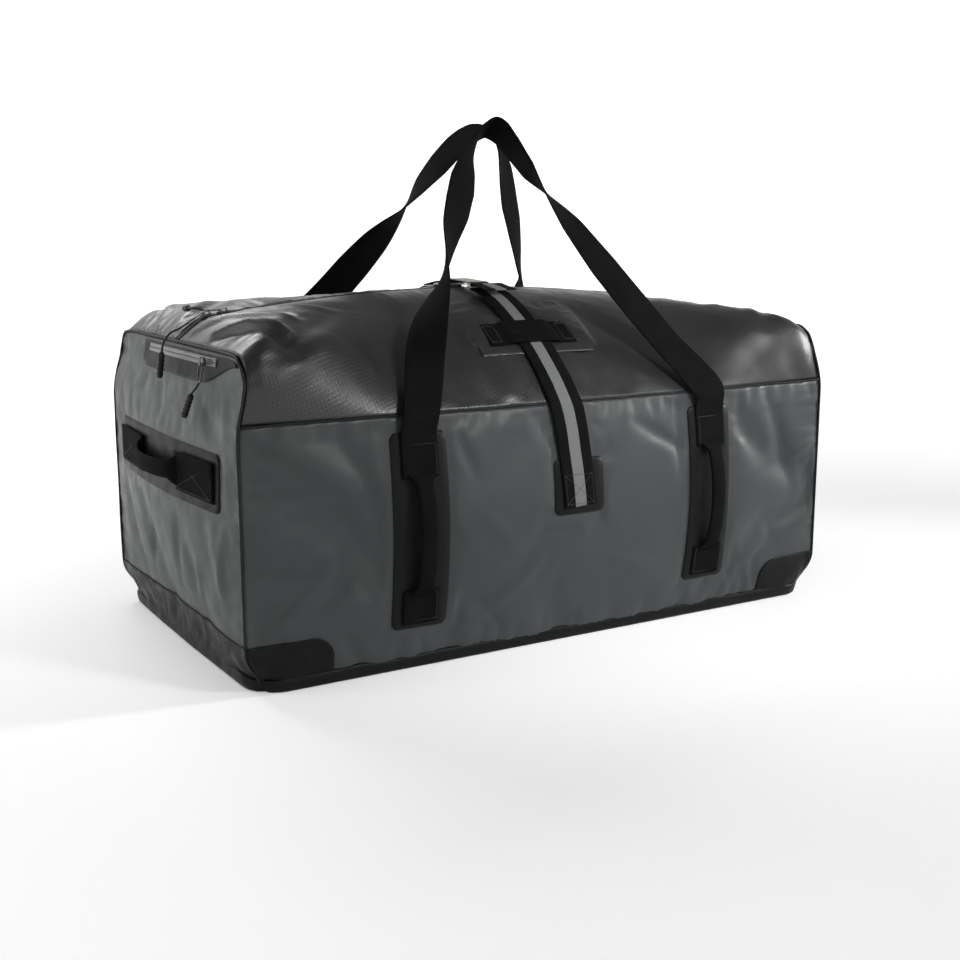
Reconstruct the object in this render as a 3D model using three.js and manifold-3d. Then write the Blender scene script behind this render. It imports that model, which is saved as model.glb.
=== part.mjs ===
// Hockey equipment bag: a boxy tarpaulin duffle with a domed zip-up top, two webbing carry straps,
// a compression strap with a metal hook buckle, grab handles and an end pocket.
//
// Millimetres. +X runs along the length, -Y is the front, +Z is up. The origin is on the floor, at
// the middle of the base.
import * as THREE from 'three'
import Module from 'manifold-3d'
import { mergeVertices } from 'three/addons/utils/BufferGeometryUtils.js'

const wasm = await Module()
wasm.setup()

// ---- driving dimensions ----
const LENGTH = 890            // over the two end panels at their edges
const DEPTH = 500             // over the front and rear panels at their edges
const SEAM_Z = 326            // where the tarpaulin sides end and the ripstop top begins
const END_Z = 405             // top edge of the end panels
const RIDGE_Z = 464           // highest point of the zip
const RIDGE_RADIUS = 2450     // the zip runs along an arc of this radius
const RIDGE_X = -30           // where along the length that arc is highest
const RIDGE_LEVEL = 402       // past this distance from the middle the ridge falls to the end panels
const SKIN = 2                // thickness of a coated fabric panel
const GAP = 0.6               // air kept between pieces that are sewn or laid together
const WEBBING = 50            // width of the main webbing
const WEBBING_T = 2.6         // thickness of the main webbing
const FRONT_BOW = 26          // how far the stuffed sides swell
const SEAM_BOW = 10           // how far the side seams swell
const END_BOW = 40            // how far the stuffed ends swell
const PATCH_T = 1.2           // thickness of a welded patch
const PIPING_R = 2.5          // radius of the piping round the end panels
const BINDING_H = 12          // height of the rolled edge round the base
const SCUFF_Z = 60            // top of the scuff bands on the ends
const BAND_GAP = 1.6          // air behind a scuff band, where the corner of the bag twists
const GUARD_X = 100           // length of a corner guard along the side
const STRAP_X = 231           // carry straps and grab handles, either side of the middle
const PATCH_W = 76            // width of a strap patch
const PATCH_LOW = 55          // lower edge of a strap patch
const PATCH_HIGH = 305        // upper edge of a strap patch
const FLAP_X = 285            // the middle of the top opens between these two places
const BUCKLE_X = -14          // the compression strap crosses the ridge here
const SLIDER_A_X = -402       // outer zip slider
const SLIDER_B_X = -379       // inner zip slider
const POCKET_SLIDER_Y = -134  // end pocket's slider, at the front end of its zip
const POCKET_ZIP_Z = 392      // height of the end pocket's zip

const HALF_L = LENGTH / 2
const HALF_D = DEPTH / 2
const TOP_H = END_Z - SEAM_Z

// ---- materials ----
const paint = (color, roughness, metalness = 0) =>
  new THREE.MeshStandardMaterial({ color, roughness, metalness })
const TARPAULIN = paint(0x54595c, 0.55)
const RIPSTOP = paint(0x2e2e2d, 0.5)
const WELDED = paint(0x2b2b2b, 0.45)
const COATED_BASE = paint(0x262626, 0.5)
const WEB = paint(0x101010, 0.85)
const PIPING = paint(0x141414, 0.6)
const ZIP_TAPE = paint(0x131313, 0.8)
const METAL = paint(0x9a958c, 0.3, 1)
const RUBBER = paint(0x151515, 0.6)
const LINING = paint(0x35383a, 0.8)

const bag = new THREE.Group()

/** Adds one named mesh to the bag. */
function add(name, geometry, material) {
  const mesh = new THREE.Mesh(geometry, material)
  mesh.name = name
  bag.add(mesh)
  return mesh
}

// ---- helpers for closed solids ----

/** Keeps only positions, merges shared vertices and turns the faces outwards. */
function closed(geometry) {
  geometry.deleteAttribute('normal')
  geometry.deleteAttribute('uv')
  const merged = mergeVertices(geometry, 1e-4)
  const p = merged.attributes.position
  const index = merged.index.array
  const [a, b, c] = [new THREE.Vector3(), new THREE.Vector3(), new THREE.Vector3()]
  let volume = 0
  for (let i = 0; i < index.length; i += 3) {
    a.fromBufferAttribute(p, index[i])
    b.fromBufferAttribute(p, index[i + 1])
    c.fromBufferAttribute(p, index[i + 2])
    volume += a.dot(b.cross(c))
  }
  if (volume < 0) {
    for (let i = 0; i < index.length; i += 3) {
      [index[i], index[i + 1]] = [index[i + 1], index[i]]
    }
  }
  return merged
}

/** A closed slab: place(u, v, t) gives each corner, u and v along the sheet, t through it, all 0..1. */
function slab(nu, nv, place) {
  const box = new THREE.BoxGeometry(1, 1, 1, nu, nv, 1)
  const p = box.attributes.position
  for (let i = 0; i < p.count; i++) {
    const at = place(p.getX(i) + 0.5, p.getY(i) + 0.5, p.getZ(i) + 0.5)
    p.setXYZ(i, ...at)
  }
  return closed(box)
}

/** A round bar or piping along a smooth curve through points. */
function tube(points, radius, steps, sides = 8) {
  const section = new THREE.Shape()
  for (let i = 0; i < sides; i++) {
    const a = (i / sides) * 2 * Math.PI
    const to = i === 0 ? 'moveTo' : 'lineTo'
    section[to](radius * Math.cos(a), radius * Math.sin(a))
  }
  const path = new THREE.CatmullRomCurve3(points.map((q) => new THREE.Vector3(...q)))
  return closed(new THREE.ExtrudeGeometry(section, { steps, extrudePath: path, bevelEnabled: false }))
}

/** Flat webbing along a smooth curve; faces[i] is the way its outer face looks at points[i]. */
function ribbon(points, faces, width, thickness, steps, cells = 1) {
  const path = new THREE.CatmullRomCurve3(points.map((q) => new THREE.Vector3(...q)))
  const looks = faces.map((q) => new THREE.Vector3(...q).normalize())
  const frame = (u) => {
    const k = Math.min(u * (looks.length - 1), looks.length - 1 - 1e-9)
    const i = Math.floor(k)
    const face = looks[i].clone().lerp(looks[i + 1], k - i)
    const along = path.getTangent(u)
    face.addScaledVector(along, -face.dot(along)).normalize()
    return { at: path.getPoint(u), face, across: along.clone().cross(face) }
  }
  return slab(steps, cells, (u, v, t) => {
    const { at, face, across } = frame(u)
    return at
      .addScaledVector(across, (v - 0.5) * width)
      .addScaledVector(face, (t - 0.5) * thickness)
      .toArray()
  })
}

/** Turns a closed mesh into a manifold-3d solid. */
function solid(geometry) {
  return new wasm.Manifold(new wasm.Mesh({
    numProp: 3,
    vertProperties: new Float32Array(geometry.attributes.position.array),
    triVerts: new Uint32Array(geometry.index.array),
  }))
}

/** Turns a manifold-3d solid back into a mesh geometry. */
function meshed(body) {
  const mesh = body.getMesh()
  const geometry = new THREE.BufferGeometry()
  geometry.setAttribute('position', new THREE.BufferAttribute(mesh.vertProperties.slice(), 3))
  geometry.setIndex(new THREE.BufferAttribute(mesh.triVerts.slice(), 1))
  return geometry
}

/** A rounded rectangle centred on (0, 0). */
function roundedRectangle(Outline, width, height, radius) {
  const [x, y] = [width / 2, height / 2]
  const shape = new Outline()
  shape.moveTo(-x + radius, -y)
  shape.lineTo(x - radius, -y)
  shape.absarc(x - radius, -y + radius, radius, -Math.PI / 2, 0)
  shape.lineTo(x, y - radius)
  shape.absarc(x - radius, y - radius, radius, 0, Math.PI / 2)
  shape.lineTo(-x + radius, y)
  shape.absarc(-x + radius, y - radius, radius, Math.PI / 2, Math.PI)
  shape.lineTo(-x, -y + radius)
  shape.absarc(-x + radius, -y + radius, radius, Math.PI, 1.5 * Math.PI)
  return shape
}

// ---- the bag's surfaces ----
const { clamp, lerp, smoothstep } = THREE.MathUtils

/** Swelling of a stuffed panel, 0 at its edges and 1 in the middle, across and up. */
function swell(across, up) {
  return Math.cos((Math.PI * across) / 2) * Math.sin(Math.PI * clamp(up, 0, 1))
}

/** Distance from the middle of the bag to the outside of the front or rear panel. */
function sideY(x, z) {
  const across = x / HALF_L
  const seam = SEAM_BOW * Math.cos((Math.PI * across) / 2) * smoothstep(z / SEAM_Z, 0, 1)
  return HALF_D + FRONT_BOW * swell(across, z / SEAM_Z) + seam
}

/** Distance from the middle of the bag to the outside of an end panel. */
function endX(y, z) {
  return HALF_L + END_BOW * swell(y / HALF_D, z / END_Z)
}

/** Height of the zip's ridge along the bag: an arc that drops to the end panels. */
function ridgeZ(x) {
  const arc = RIDGE_Z - RIDGE_RADIUS + Math.sqrt(RIDGE_RADIUS ** 2 - (x - RIDGE_X) ** 2)
  const fall = clamp((Math.abs(x) - RIDGE_LEVEL) / (HALF_L - RIDGE_LEVEL), 0, 1) ** 1.5
  return lerp(arc, END_Z, fall)
}

/**
 * A point on one half of the top, p from 0 at the side seam to 1 at the ridge. The section is a
 * superellipse, domed in the middle of the bag and boxy at its ends.
 */
function topPoint(side, x, p, off) {
  const boxy = clamp((Math.abs(x) / HALF_L - 0.4) / 0.55, 0, 1) ** 1.6
  const [a, b] = [lerp(2.1, 20, boxy ** 2), lerp(0.9, 0.5, boxy)]
  const half = sideY(x, SEAM_Z)
  const rise = ridgeZ(x) - SEAM_Z
  const at = (q) => {
    const turn = (Math.PI / 2) * (1 - (1 - clamp(q, 0, 1)) ** (1 + 2 * boxy))
    return [half * Math.cos(turn) ** (2 / a), SEAM_Z + rise * Math.sin(turn) ** (2 * b)]
  }
  const [y, z] = at(p)
  const [y0, z0] = at(p - 0.01)
  const [y1, z1] = at(p + 0.01)
  const span = Math.hypot(y1 - y0, z1 - z0) || 1
  return [x, side * (y + (off * (z1 - z0)) / span), z + (off * (y0 - y1)) / span]
}

/** A point on the outside of the front (side -1) or rear (side 1) panel. */
const sidePoint = (side, x, z, off) => [x, side * (sideY(x, z) + off), z]

/** A point on the outside of the left (side -1) or right (side 1) end panel. */
const endPoint = (side, y, z, off) => [side * (endX(y, z) + off), y, z]

/** Top edge of an end panel at distance y from the middle. */
const endTop = (y) => SEAM_Z + TOP_H * Math.sqrt(Math.max(0, 1 - Math.abs(y / HALF_D) ** 20))

/** Spreads 0..1 over -1..1 with steps that get finer towards both ends. */
function toEdges(u) {
  const w = 2 * u - 1
  return Math.sign(w) * (1 - (1 - Math.abs(w)) ** 2.2)
}

// ---- base: a coated cloth with a rolled edge that stands up round the panels ----
const BASE_T = 3
const ROLL_IN = 4.6           // inside and outside of the rolled edge, out from the panels' edges
const ROLL_OUT = 8.6
const BASE_CORNER = 14
const baseOutline = (edge, radius, Outline) =>
  roundedRectangle(Outline, LENGTH + 2 * edge, DEPTH + 2 * edge, radius)
const upright = (depth) => ({ depth, bevelEnabled: false, curveSegments: 3 })
const baseCloth = new THREE.ExtrudeGeometry(baseOutline(ROLL_OUT, BASE_CORNER, THREE.Shape), upright(BASE_T))
const roll = baseOutline(ROLL_OUT, BASE_CORNER, THREE.Shape)
roll.holes.push(baseOutline(ROLL_IN, 1, THREE.Path))
const rolledEdge = new THREE.ExtrudeGeometry(roll, upright(BINDING_H))
add('base', meshed(solid(closed(baseCloth)).add(solid(closed(rolledEdge)))), COATED_BASE)

// ---- side and end panels, with what is sewn or welded on them ----
const PANEL_LOW = BASE_T + GAP
const TRIM_LOW = BINDING_H + GAP
const SIDES = [['front', -1], ['rear', 1]]
const ENDS = [['left', -1], ['right', 1]]

/** A thin piece that follows a side panel between two x and two z. */
function onSide(side, [x0, x1], [z0, z1], [near, far], nu = 4, nv = 6) {
  return slab(nu, nv, (u, v, t) =>
    sidePoint(side, lerp(x0, x1, u), lerp(z0, z1, v), lerp(near, far, t)))
}

for (const [name, side] of SIDES) {
  add(`${name}_panel`, onSide(side, [-HALF_L + SKIN + GAP, HALF_L - SKIN - GAP],
    [PANEL_LOW, SEAM_Z - 0.2], [-SKIN, 0], 14, 6), TARPAULIN)
}

for (const [name, side] of ENDS) {
  add(`${name}_end_panel`, slab(20, 6, (u, v, t) => {
    const y = HALF_D * toEdges(u)
    return endPoint(side, y, lerp(PANEL_LOW, endTop(y), v), lerp(-SKIN, 0, t))
  }), TARPAULIN)

  add(`${name}_scuff_band`, slab(16, 1, (u, v, t) => {
    const y = lerp(-HALF_D + 1, HALF_D - 1, u)
    return endPoint(side, y, lerp(TRIM_LOW, SCUFF_Z, v), lerp(BAND_GAP, BAND_GAP + PATCH_T, t))
  }), COATED_BASE)
}

const GUARD_CORNER = 26       // radius of a corner guard's upper inner corner
for (const [sideName, side] of SIDES) {
  for (const [endName, end] of ENDS) {
    add(`${sideName}_${endName}_corner_guard`, slab(8, 1, (u, v, t) => {
      const inward = u ** 1.5 * GUARD_X
      const past = Math.max(0, GUARD_CORNER - inward)
      const high = SCUFF_Z + 2 - GUARD_CORNER + Math.sqrt(GUARD_CORNER ** 2 - past ** 2)
      const x = end * (HALF_L - GUARD_X + inward - 1)
      return sidePoint(side, x, lerp(TRIM_LOW, high, v), lerp(BAND_GAP, BAND_GAP + PATCH_T, t))
    }), COATED_BASE)
  }
}

/** The end panel's outline from the binding up, round the top and down again, moved outwards. */
function endOutline(off) {
  const corners = 11
  const half = []
  for (let i = 0; i <= corners; i++) {
    const turn = (Math.PI / 2) * (i / corners) ** 0.7
    half.push([HALF_D * Math.cos(turn) ** 0.1, SEAM_Z + TOP_H * Math.sin(turn)])
  }
  half[corners][0] = 0
  const moved = half.map(([y, z], i) => {
    const [y0, z0] = half[Math.max(i - 1, 0)]
    const [y1, z1] = half[Math.min(i + 1, corners)]
    const span = Math.hypot(y1 - y0, z1 - z0)
    return i === corners ? [0, z + off] : [y + (off * (z1 - z0)) / span, z + (off * (y0 - y1)) / span]
  })
  const legs = [0.02, 0.35, 0.7].map((k) => [HALF_D + off, lerp(TRIM_LOW, SEAM_Z, k)])
  const rising = [...legs, ...moved]
  const falling = rising.slice(0, -1).reverse().map(([y, z]) => [-y, z])
  return [...rising, ...falling]
}

for (const [name, side] of ENDS) {
  const corner = PIPING_R / Math.SQRT2 + 1.2
  const points = endOutline(corner).map(([y, z]) => [side * (HALF_L + corner), y, z])
  add(`${name}_end_piping`, tube(points, PIPING_R, 40, 6), PIPING)
}

// ---- welded patches with their webbing: stitched flat at both ends, a bowed handle between ----
const ON_PATCH = GAP + PATCH_T + GAP
const TAB_T = 3
const HANDLE_W = 26
const HANDLE_T = 5
const HANDLE_BOW = 20
const RUN_Z = [62, 293]       // the webbing on a strap patch
const TAB_SHARE = 0.19        // part of a run that is stitched down at each end
const END_PATCH_Y = 198
const END_PATCH_Z = [214, 286]
const END_RUN_Y = 186

/** Width, thickness and bow of a handle's webbing at v, 0 and 1 being its two stitched ends. */
function handleAt(v) {
  const open = clamp((v - TAB_SHARE) / (1 - 2 * TAB_SHARE), 0, 1)
  const folded = smoothstep(Math.min(open, 1 - open), 0, 0.12)
  return {
    width: lerp(WEBBING, HANDLE_W, folded),
    thickness: lerp(TAB_T, HANDLE_T, folded),
    bow: HANDLE_BOW * Math.sin(Math.PI * open) ** 0.7,
  }
}

for (const [sideName, side] of SIDES) {
  for (const [endName, end] of ENDS) {
    const x = end * STRAP_X
    const edges = [x - PATCH_W / 2, x + PATCH_W / 2]
    add(`${sideName}_${endName}_strap_patch`,
      onSide(side, edges, [PATCH_LOW, PATCH_HIGH], [GAP, GAP + PATCH_T], 2, 8), WELDED)
    add(`${sideName}_${endName}_grab_handle`, slab(1, 22, (u, v, t) => {
      const { width, thickness, bow } = handleAt(v)
      return sidePoint(side, x + (u - 0.5) * width, lerp(...RUN_Z, v), ON_PATCH + bow + thickness * t)
    }), WEB)
  }
}

/** A thin piece that follows an end panel between two y and two z. */
function onEnd(side, [y0, y1], [z0, z1], [near, far], nu = 4, nv = 3) {
  return slab(nu, nv, (u, v, t) =>
    endPoint(side, lerp(y0, y1, u), lerp(z0, z1, v), lerp(near, far, t)))
}

for (const [name, side] of ENDS) {
  add(`${name}_handle_patch`,
    onEnd(side, [-END_PATCH_Y, END_PATCH_Y], END_PATCH_Z, [GAP, GAP + PATCH_T], 12, 2), WELDED)
  const middle = (END_PATCH_Z[0] + END_PATCH_Z[1]) / 2
  add(`${name}_end_handle`, slab(24, 1, (u, v, t) => {
    const { width, thickness, bow } = handleAt(u)
    const z = middle + (v - 0.5) * width
    return endPoint(side, lerp(-END_RUN_Y, END_RUN_Y, u), z, ON_PATCH + bow + thickness * t)
  }), WEB)
}

// ---- ripstop top: a middle that opens and two fixed ends on each side ----
const ZIP_TAPE_W = 9
const TOP_LOW = 0.004
const FIXED = [FLAP_X + 0.5, HALF_L - SKIN - GAP]

/** One stretch of a top panel, from the side seam to the zip tape. */
function topPanel(side, [x0, x1], nu) {
  return slab(nu, 8, (u, v, t) => {
    const x = lerp(x0, x1, u)
    const [, y, z] = topPoint(side, x, lerp(TOP_LOW, 1, v), lerp(-SKIN, 0, t))
    const edge = ZIP_TAPE_W + GAP
    const high = v < 1 ? Math.max(z, SEAM_Z + 0.3) : ridgeZ(x) - lerp(SKIN, 0, t)
    return [x, side * Math.max(side * y, edge), high]
  })
}

for (const [name, side] of SIDES) {
  add(`${name}_top_middle`, topPanel(side, [-FLAP_X, FLAP_X], 12), RIPSTOP)
  for (const [endName, end] of ENDS) {
    add(`${name}_top_${endName}_end`, topPanel(side, FIXED.map((x) => end * x), 7), RIPSTOP)
  }
}

// ---- main zip: tape and coil halves that open with the top, and the closed ends ----
const COIL_H = 0.6

/** A strip along the ridge between two x and two y, its section a low coil at the inner edge. */
function zipStrip([x0, x1], [y0, y1], nu) {
  return slab(nu, 1, (u, v, t) => {
    const x = lerp(x0, x1, u)
    return [x, lerp(y0, y1, v), ridgeZ(x) + lerp(-SKIN, COIL_H, t)]
  })
}

for (const [name, side] of SIDES) {
  add(`${name}_zip_half`, zipStrip([-FLAP_X, FLAP_X], [side * 0.25, side * ZIP_TAPE_W], 12), ZIP_TAPE)
}
for (const [name, side] of ENDS) {
  add(`${name}_zip_end`, zipStrip(FIXED.map((x) => side * x), [-ZIP_TAPE_W, ZIP_TAPE_W], 7), ZIP_TAPE)
}

// ---- zip sliders and pulls ----
const SLIDER_L = 17
const SLIDER_W = 10
const SLIDER_BASE_H = 2.2
const BRIDGE_H = 3.2
const BRIDGE_W = 4
const LOOP_L = 24
const LOOP_W = 14
const LOOP_T = 1.3
const LOOP_WIRE = 1.4

/** A slider lying on z = 0 along x: a plate, and a bridge, turned about z, for the pull's loop. */
function sliderBody(bridgeTurn = 0) {
  const plate = new THREE.ExtrudeGeometry(roundedRectangle(THREE.Shape, SLIDER_L, SLIDER_W, 3.5), {
    depth: SLIDER_BASE_H, bevelEnabled: false, curveSegments: 2,
  })
  const arch = new THREE.Shape()
  const [foot, leg, sunk, thick] = [5, 1.1, 0.5, 0.8]
  arch.moveTo(-foot - leg, -sunk)
  arch.lineTo(-foot, BRIDGE_H)
  arch.lineTo(foot, BRIDGE_H)
  arch.lineTo(foot + leg, -sunk)
  arch.lineTo(foot, -sunk)
  arch.lineTo(foot - leg, BRIDGE_H - thick)
  arch.lineTo(leg - foot, BRIDGE_H - thick)
  arch.lineTo(-foot, -sunk)
  const bridge = new THREE.ExtrudeGeometry(arch, { depth: BRIDGE_W, bevelEnabled: false })
  bridge.translate(0, 0, -BRIDGE_W / 2)
  bridge.rotateX(Math.PI / 2)
  bridge.rotateZ(bridgeTurn)
  bridge.translate(0, 0, SLIDER_BASE_H)
  return meshed(solid(closed(plate)).add(solid(closed(bridge))))
}

/** The metal loop through a slider's bridge: its hinge end is at x = 0 and it points along -x. */
function pullLoop() {
  const loop = roundedRectangle(THREE.Shape, LOOP_L, LOOP_W, 4)
  loop.holes.push(roundedRectangle(THREE.Path, LOOP_L - 2 * LOOP_WIRE, LOOP_W - 2 * LOOP_WIRE, 2.4))
  const geometry = new THREE.ExtrudeGeometry(loop, { depth: LOOP_T, bevelEnabled: false, curveSegments: 2 })
  geometry.translate((LOOP_WIRE - LOOP_L) / 2, 0, -LOOP_T / 2)
  return closed(geometry)
}

/** A rubber grip with ribs, its axis along -x from x = 0, ready to be turned along its pull. */
function grip(length, radius) {
  const ribs = 5
  const profile = [new THREE.Vector2(0, 0), new THREE.Vector2(radius * 0.7, 0)]
  for (let i = 0; i < ribs; i++) {
    const [start, pitch] = [(i / ribs) * length, length / ribs]
    profile.push(new THREE.Vector2(radius, start + pitch * 0.2))
    profile.push(new THREE.Vector2(radius, start + pitch * 0.65))
    profile.push(new THREE.Vector2(radius * 0.75, start + pitch * 0.85))
  }
  profile.push(new THREE.Vector2(radius * 0.7, length), new THREE.Vector2(0, length))
  return closed(new THREE.LatheGeometry(profile, 8))
}

const GRIP_L = 32
const GRIP_R = 3.4
const CORD_R = 1.1
const HINGE_IN = 2.4          // a loop's wire lies this far behind its slider's middle
const HINGE_UP = 1.2          // and this far above its slider's plate

/** Adds a pull: its metal loop, and the cord from the loop's far end with its rubber grip. */
function addPull(label, hinge, loopEnd, cordPath, gripEnd) {
  const from = new THREE.Vector3(...hinge)
  const loop = pullLoop()
  const aim = new THREE.Vector3(...loopEnd).sub(from).normalize()
  const across = label === 'pocket' ? new THREE.Vector3(0, 0, 1).cross(aim) : new THREE.Vector3(0, 1, 0)
  const up = label === 'pocket' ? new THREE.Vector3(-1, 0, 0) : aim.clone().negate().cross(across)
  const side = up.clone().cross(aim.clone().negate())
  loop.applyMatrix4(new THREE.Matrix4().makeBasis(aim.clone().negate(), side, up).setPosition(from))
  add(`${label}_pull_loop`, loop, METAL)

  const start = from.clone().addScaledVector(aim, LOOP_L - LOOP_WIRE / 2 + GAP)
  const gripStart = new THREE.Vector3(...cordPath[cordPath.length - 1])
  const gripAim = new THREE.Vector3(...gripEnd).sub(gripStart).normalize()
  const cordEnd = gripStart.clone().addScaledVector(gripAim, GRIP_L / 4)
  const cord = tube([start.toArray(), ...cordPath, cordEnd.toArray()], CORD_R, 8, 6)

  const rubber = grip(GRIP_L, GRIP_R)
  const turn = new THREE.Quaternion().setFromUnitVectors(new THREE.Vector3(0, 1, 0), gripAim)
  rubber.applyQuaternion(turn)
  rubber.translate(...gripStart.toArray())
  add(`${label}_pull_tab`, meshed(solid(cord).add(solid(rubber))), RUBBER)
}

/** Slope, in radians, and height of the zip's arc at x. */
const arcSlope = (x) => Math.asin((x - RIDGE_X) / RIDGE_RADIUS)
const arcZ = (x) => RIDGE_Z - RIDGE_RADIUS + RIDGE_RADIUS * Math.cos(arcSlope(x))
const SLIDER_LIFT = COIL_H + 0.6

for (const [label, x] of [['outer', SLIDER_A_X], ['inner', SLIDER_B_X]]) {
  const body = sliderBody()
  body.rotateY(arcSlope(x))
  body.translate(x, 0, arcZ(x) + SLIDER_LIFT)
  add(`${label}_slider`, body, METAL)
}

/** Where a pull's loop turns in the bridge of a main slider at x. */
function hingeAt(x) {
  const at = new THREE.Vector3(-HINGE_IN, 0, SLIDER_BASE_H + HINGE_UP)
  at.applyAxisAngle(new THREE.Vector3(0, 1, 0), arcSlope(x))
  return [x + at.x, 0, arcZ(x) + SLIDER_LIFT + at.z]
}

const outerHinge = hingeAt(SLIDER_A_X)
addPull('outer', outerHinge, [outerHinge[0] - 20, 0, outerHinge[2] - 11.5], [
  [-437, -4, 422], [-449, -9, 417], [-458, -12, 406], [-461.5, -14, 394],
], [-466, -17, 364])

const innerHinge = hingeAt(SLIDER_B_X)
addPull('inner', innerHinge, [innerHinge[0] - 20, 0, innerHinge[2] + 0.3], [
  [-414, 6, 446], [-423, 10, 444], [-431, 12, 437],
], [-454, 15, 414])

// ---- end pocket on the left end: patch, zip, slider and the pouch behind it ----
const POCKET_Y = [-226, 118]
const POCKET_DROP = 40

/** Lower edge of the pocket patch: level, then rising in a wave to the front corner. */
function pocketLow(y) {
  const wave = smoothstep(-y, 118, 222)
  const back = smoothstep(y, 100, 118)
  return END_Z - POCKET_DROP + 26 * wave + 8 * back
}

add('pocket_patch', slab(18, 2, (u, v, t) => {
  const y = lerp(...POCKET_Y, u)
  const high = endTop(y) - 5
  return endPoint(-1, y, lerp(pocketLow(y), high, v), lerp(GAP, GAP + PATCH_T, t))
}), WELDED)

const ZIP_HALF_H = 5
const ZIP_T = 1
const pocketZipY = [-165, 88]
add('pocket_zip', onEnd(-1, pocketZipY, [POCKET_ZIP_Z - ZIP_HALF_H, POCKET_ZIP_Z + ZIP_HALF_H],
  [ON_PATCH, ON_PATCH + ZIP_T], 14, 1), ZIP_TAPE)

const pouchDepth = [3.2, 9]
add('pocket_pouch', slab(6, 4, (u, v, t) => {
  const y = lerp(-150, 80, u)
  return endPoint(-1, y, lerp(236, 388, v), -SKIN - lerp(...pouchDepth, t))
}), LINING)

// A straight track: the zip's middle stands a little proud of the line, so the slider clears it.
const trackX = -(endX(0, POCKET_ZIP_Z - ZIP_HALF_H) + ON_PATCH + ZIP_T + 0.5)
const pocketBody = sliderBody(Math.PI / 2)
pocketBody.rotateZ(Math.PI / 2)
pocketBody.rotateY(-Math.PI / 2)
pocketBody.translate(trackX, POCKET_SLIDER_Y, POCKET_ZIP_Z)
add('pocket_slider', pocketBody, METAL)

const pocketHinge = [trackX - SLIDER_BASE_H - HINGE_UP, POCKET_SLIDER_Y, POCKET_ZIP_Z - HINGE_IN]
addPull('pocket', pocketHinge, [pocketHinge[0] - 4, POCKET_SLIDER_Y, POCKET_ZIP_Z - 26], [
  [trackX - 10, POCKET_SLIDER_Y + 4, POCKET_ZIP_Z - 33],
  [trackX - 14, POCKET_SLIDER_Y + 9, POCKET_ZIP_Z - 40],
], [trackX - 20, POCKET_SLIDER_Y + 24, POCKET_ZIP_Z - 70])

// ---- compression strap, keeper and hook buckle ----
const CENTRE_PATCH_W = 78
const CENTRE_PATCH_Z = [180, 253]
const CENTRE_LOW = 190
const FOLD_CLEAR = 4          // the strap is parted this far from the seam, where it folds open
const BAR_TURN_R = 3.9        // webbing and hook turn round a bar at this radius
const STRAP_LEAN = 11         // how far the strap's lower part leans towards the left end
const buckleTopZ = ridgeZ(0)

for (const [name, side] of SIDES) {
  add(`${name}_centre_patch`, onSide(side, [-CENTRE_PATCH_W / 2, CENTRE_PATCH_W / 2],
    CENTRE_PATCH_Z, [GAP, GAP + PATCH_T], 2, 4), WELDED)
  add(`${name}_strap_lower`, slab(1, 10, (u, v, t) => {
    const z = lerp(CENTRE_LOW, SEAM_Z - FOLD_CLEAR, v)
    const x = (u - 0.5) * WEBBING - STRAP_LEAN * v
    return sidePoint(side, x, z, ON_PATCH + lerp(0, WEBBING_T, t))
  }), WEB)
}

/** Lift of the upper strap over the top: it leaves the cloth to reach the raised buckle. */
const strapLift = (p) => 2.8 + 4.4 * smoothstep(p, 0.55, 0.85)

/**
 * The strap's upper half on one side: up the top, round the buckle's bar at barY and back over
 * itself. Points are in the plane across the bag.
 */
function upperStrap(side, barY, barZ, tailY) {
  const points = []
  const faces = []
  const climb = 11
  for (let i = 0; i <= climb; i++) {
    const p = lerp(0.075, 0.83, i / climb)
    const [x, y, z] = topPoint(side, BUCKLE_X, p, strapLift(p))
    const [, y1, z1] = topPoint(side, BUCKLE_X, p, strapLift(p) + 1)
    points.push([x, y, z])
    faces.push([0, y1 - y, z1 - z])
  }
  const [, lastY, lastZ] = points[climb]
  const slope = Math.atan2(barZ - BAR_TURN_R - lastZ, side * (lastY - barY))
  points.push([BUCKLE_X, lerp(lastY, barY, 0.6), lerp(lastZ, barZ - BAR_TURN_R, 0.6)])
  faces.push([0, side * Math.sin(slope), Math.cos(slope)])
  for (let i = 0; i <= 6; i++) {
    const a = -Math.PI / 2 + (i / 6) * Math.PI
    points.push([BUCKLE_X, barY - side * BAR_TURN_R * Math.cos(a), barZ + BAR_TURN_R * Math.sin(a)])
    faces.push([0, side * Math.cos(a), -Math.sin(a)])
  }
  for (const k of [0.35, 0.7, 1]) {
    const y = lerp(barY, tailY, k)
    const drop = (tailY - barY) * side * 0.16 * k
    points.push([BUCKLE_X, y, barZ + BAR_TURN_R - drop])
    faces.push([0, 0, -1])
  }
  return ribbon(points, faces, WEBBING, 2, 38)
}

const FRAME_BAR_T = 2.6
const FRAME_BAR_W = 4
const FRAME_W = 62
const FRAME_WINDOW = WEBBING + 4
const frontBar = { y: -66, z: buckleTopZ + 3.4 }
const hookBar = { y: -46, z: buckleTopZ + 4.6 }
const ringFrontBar = { y: 14, z: buckleTopZ + 4.4 }
const ringRearBar = { y: 34, z: buckleTopZ + 3.4 }

add('front_strap_upper', upperStrap(-1, frontBar.y, frontBar.z, -106), WEB)
add('rear_strap_upper', upperStrap(1, ringRearBar.y, ringRearBar.z, 72), WEB)

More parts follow.
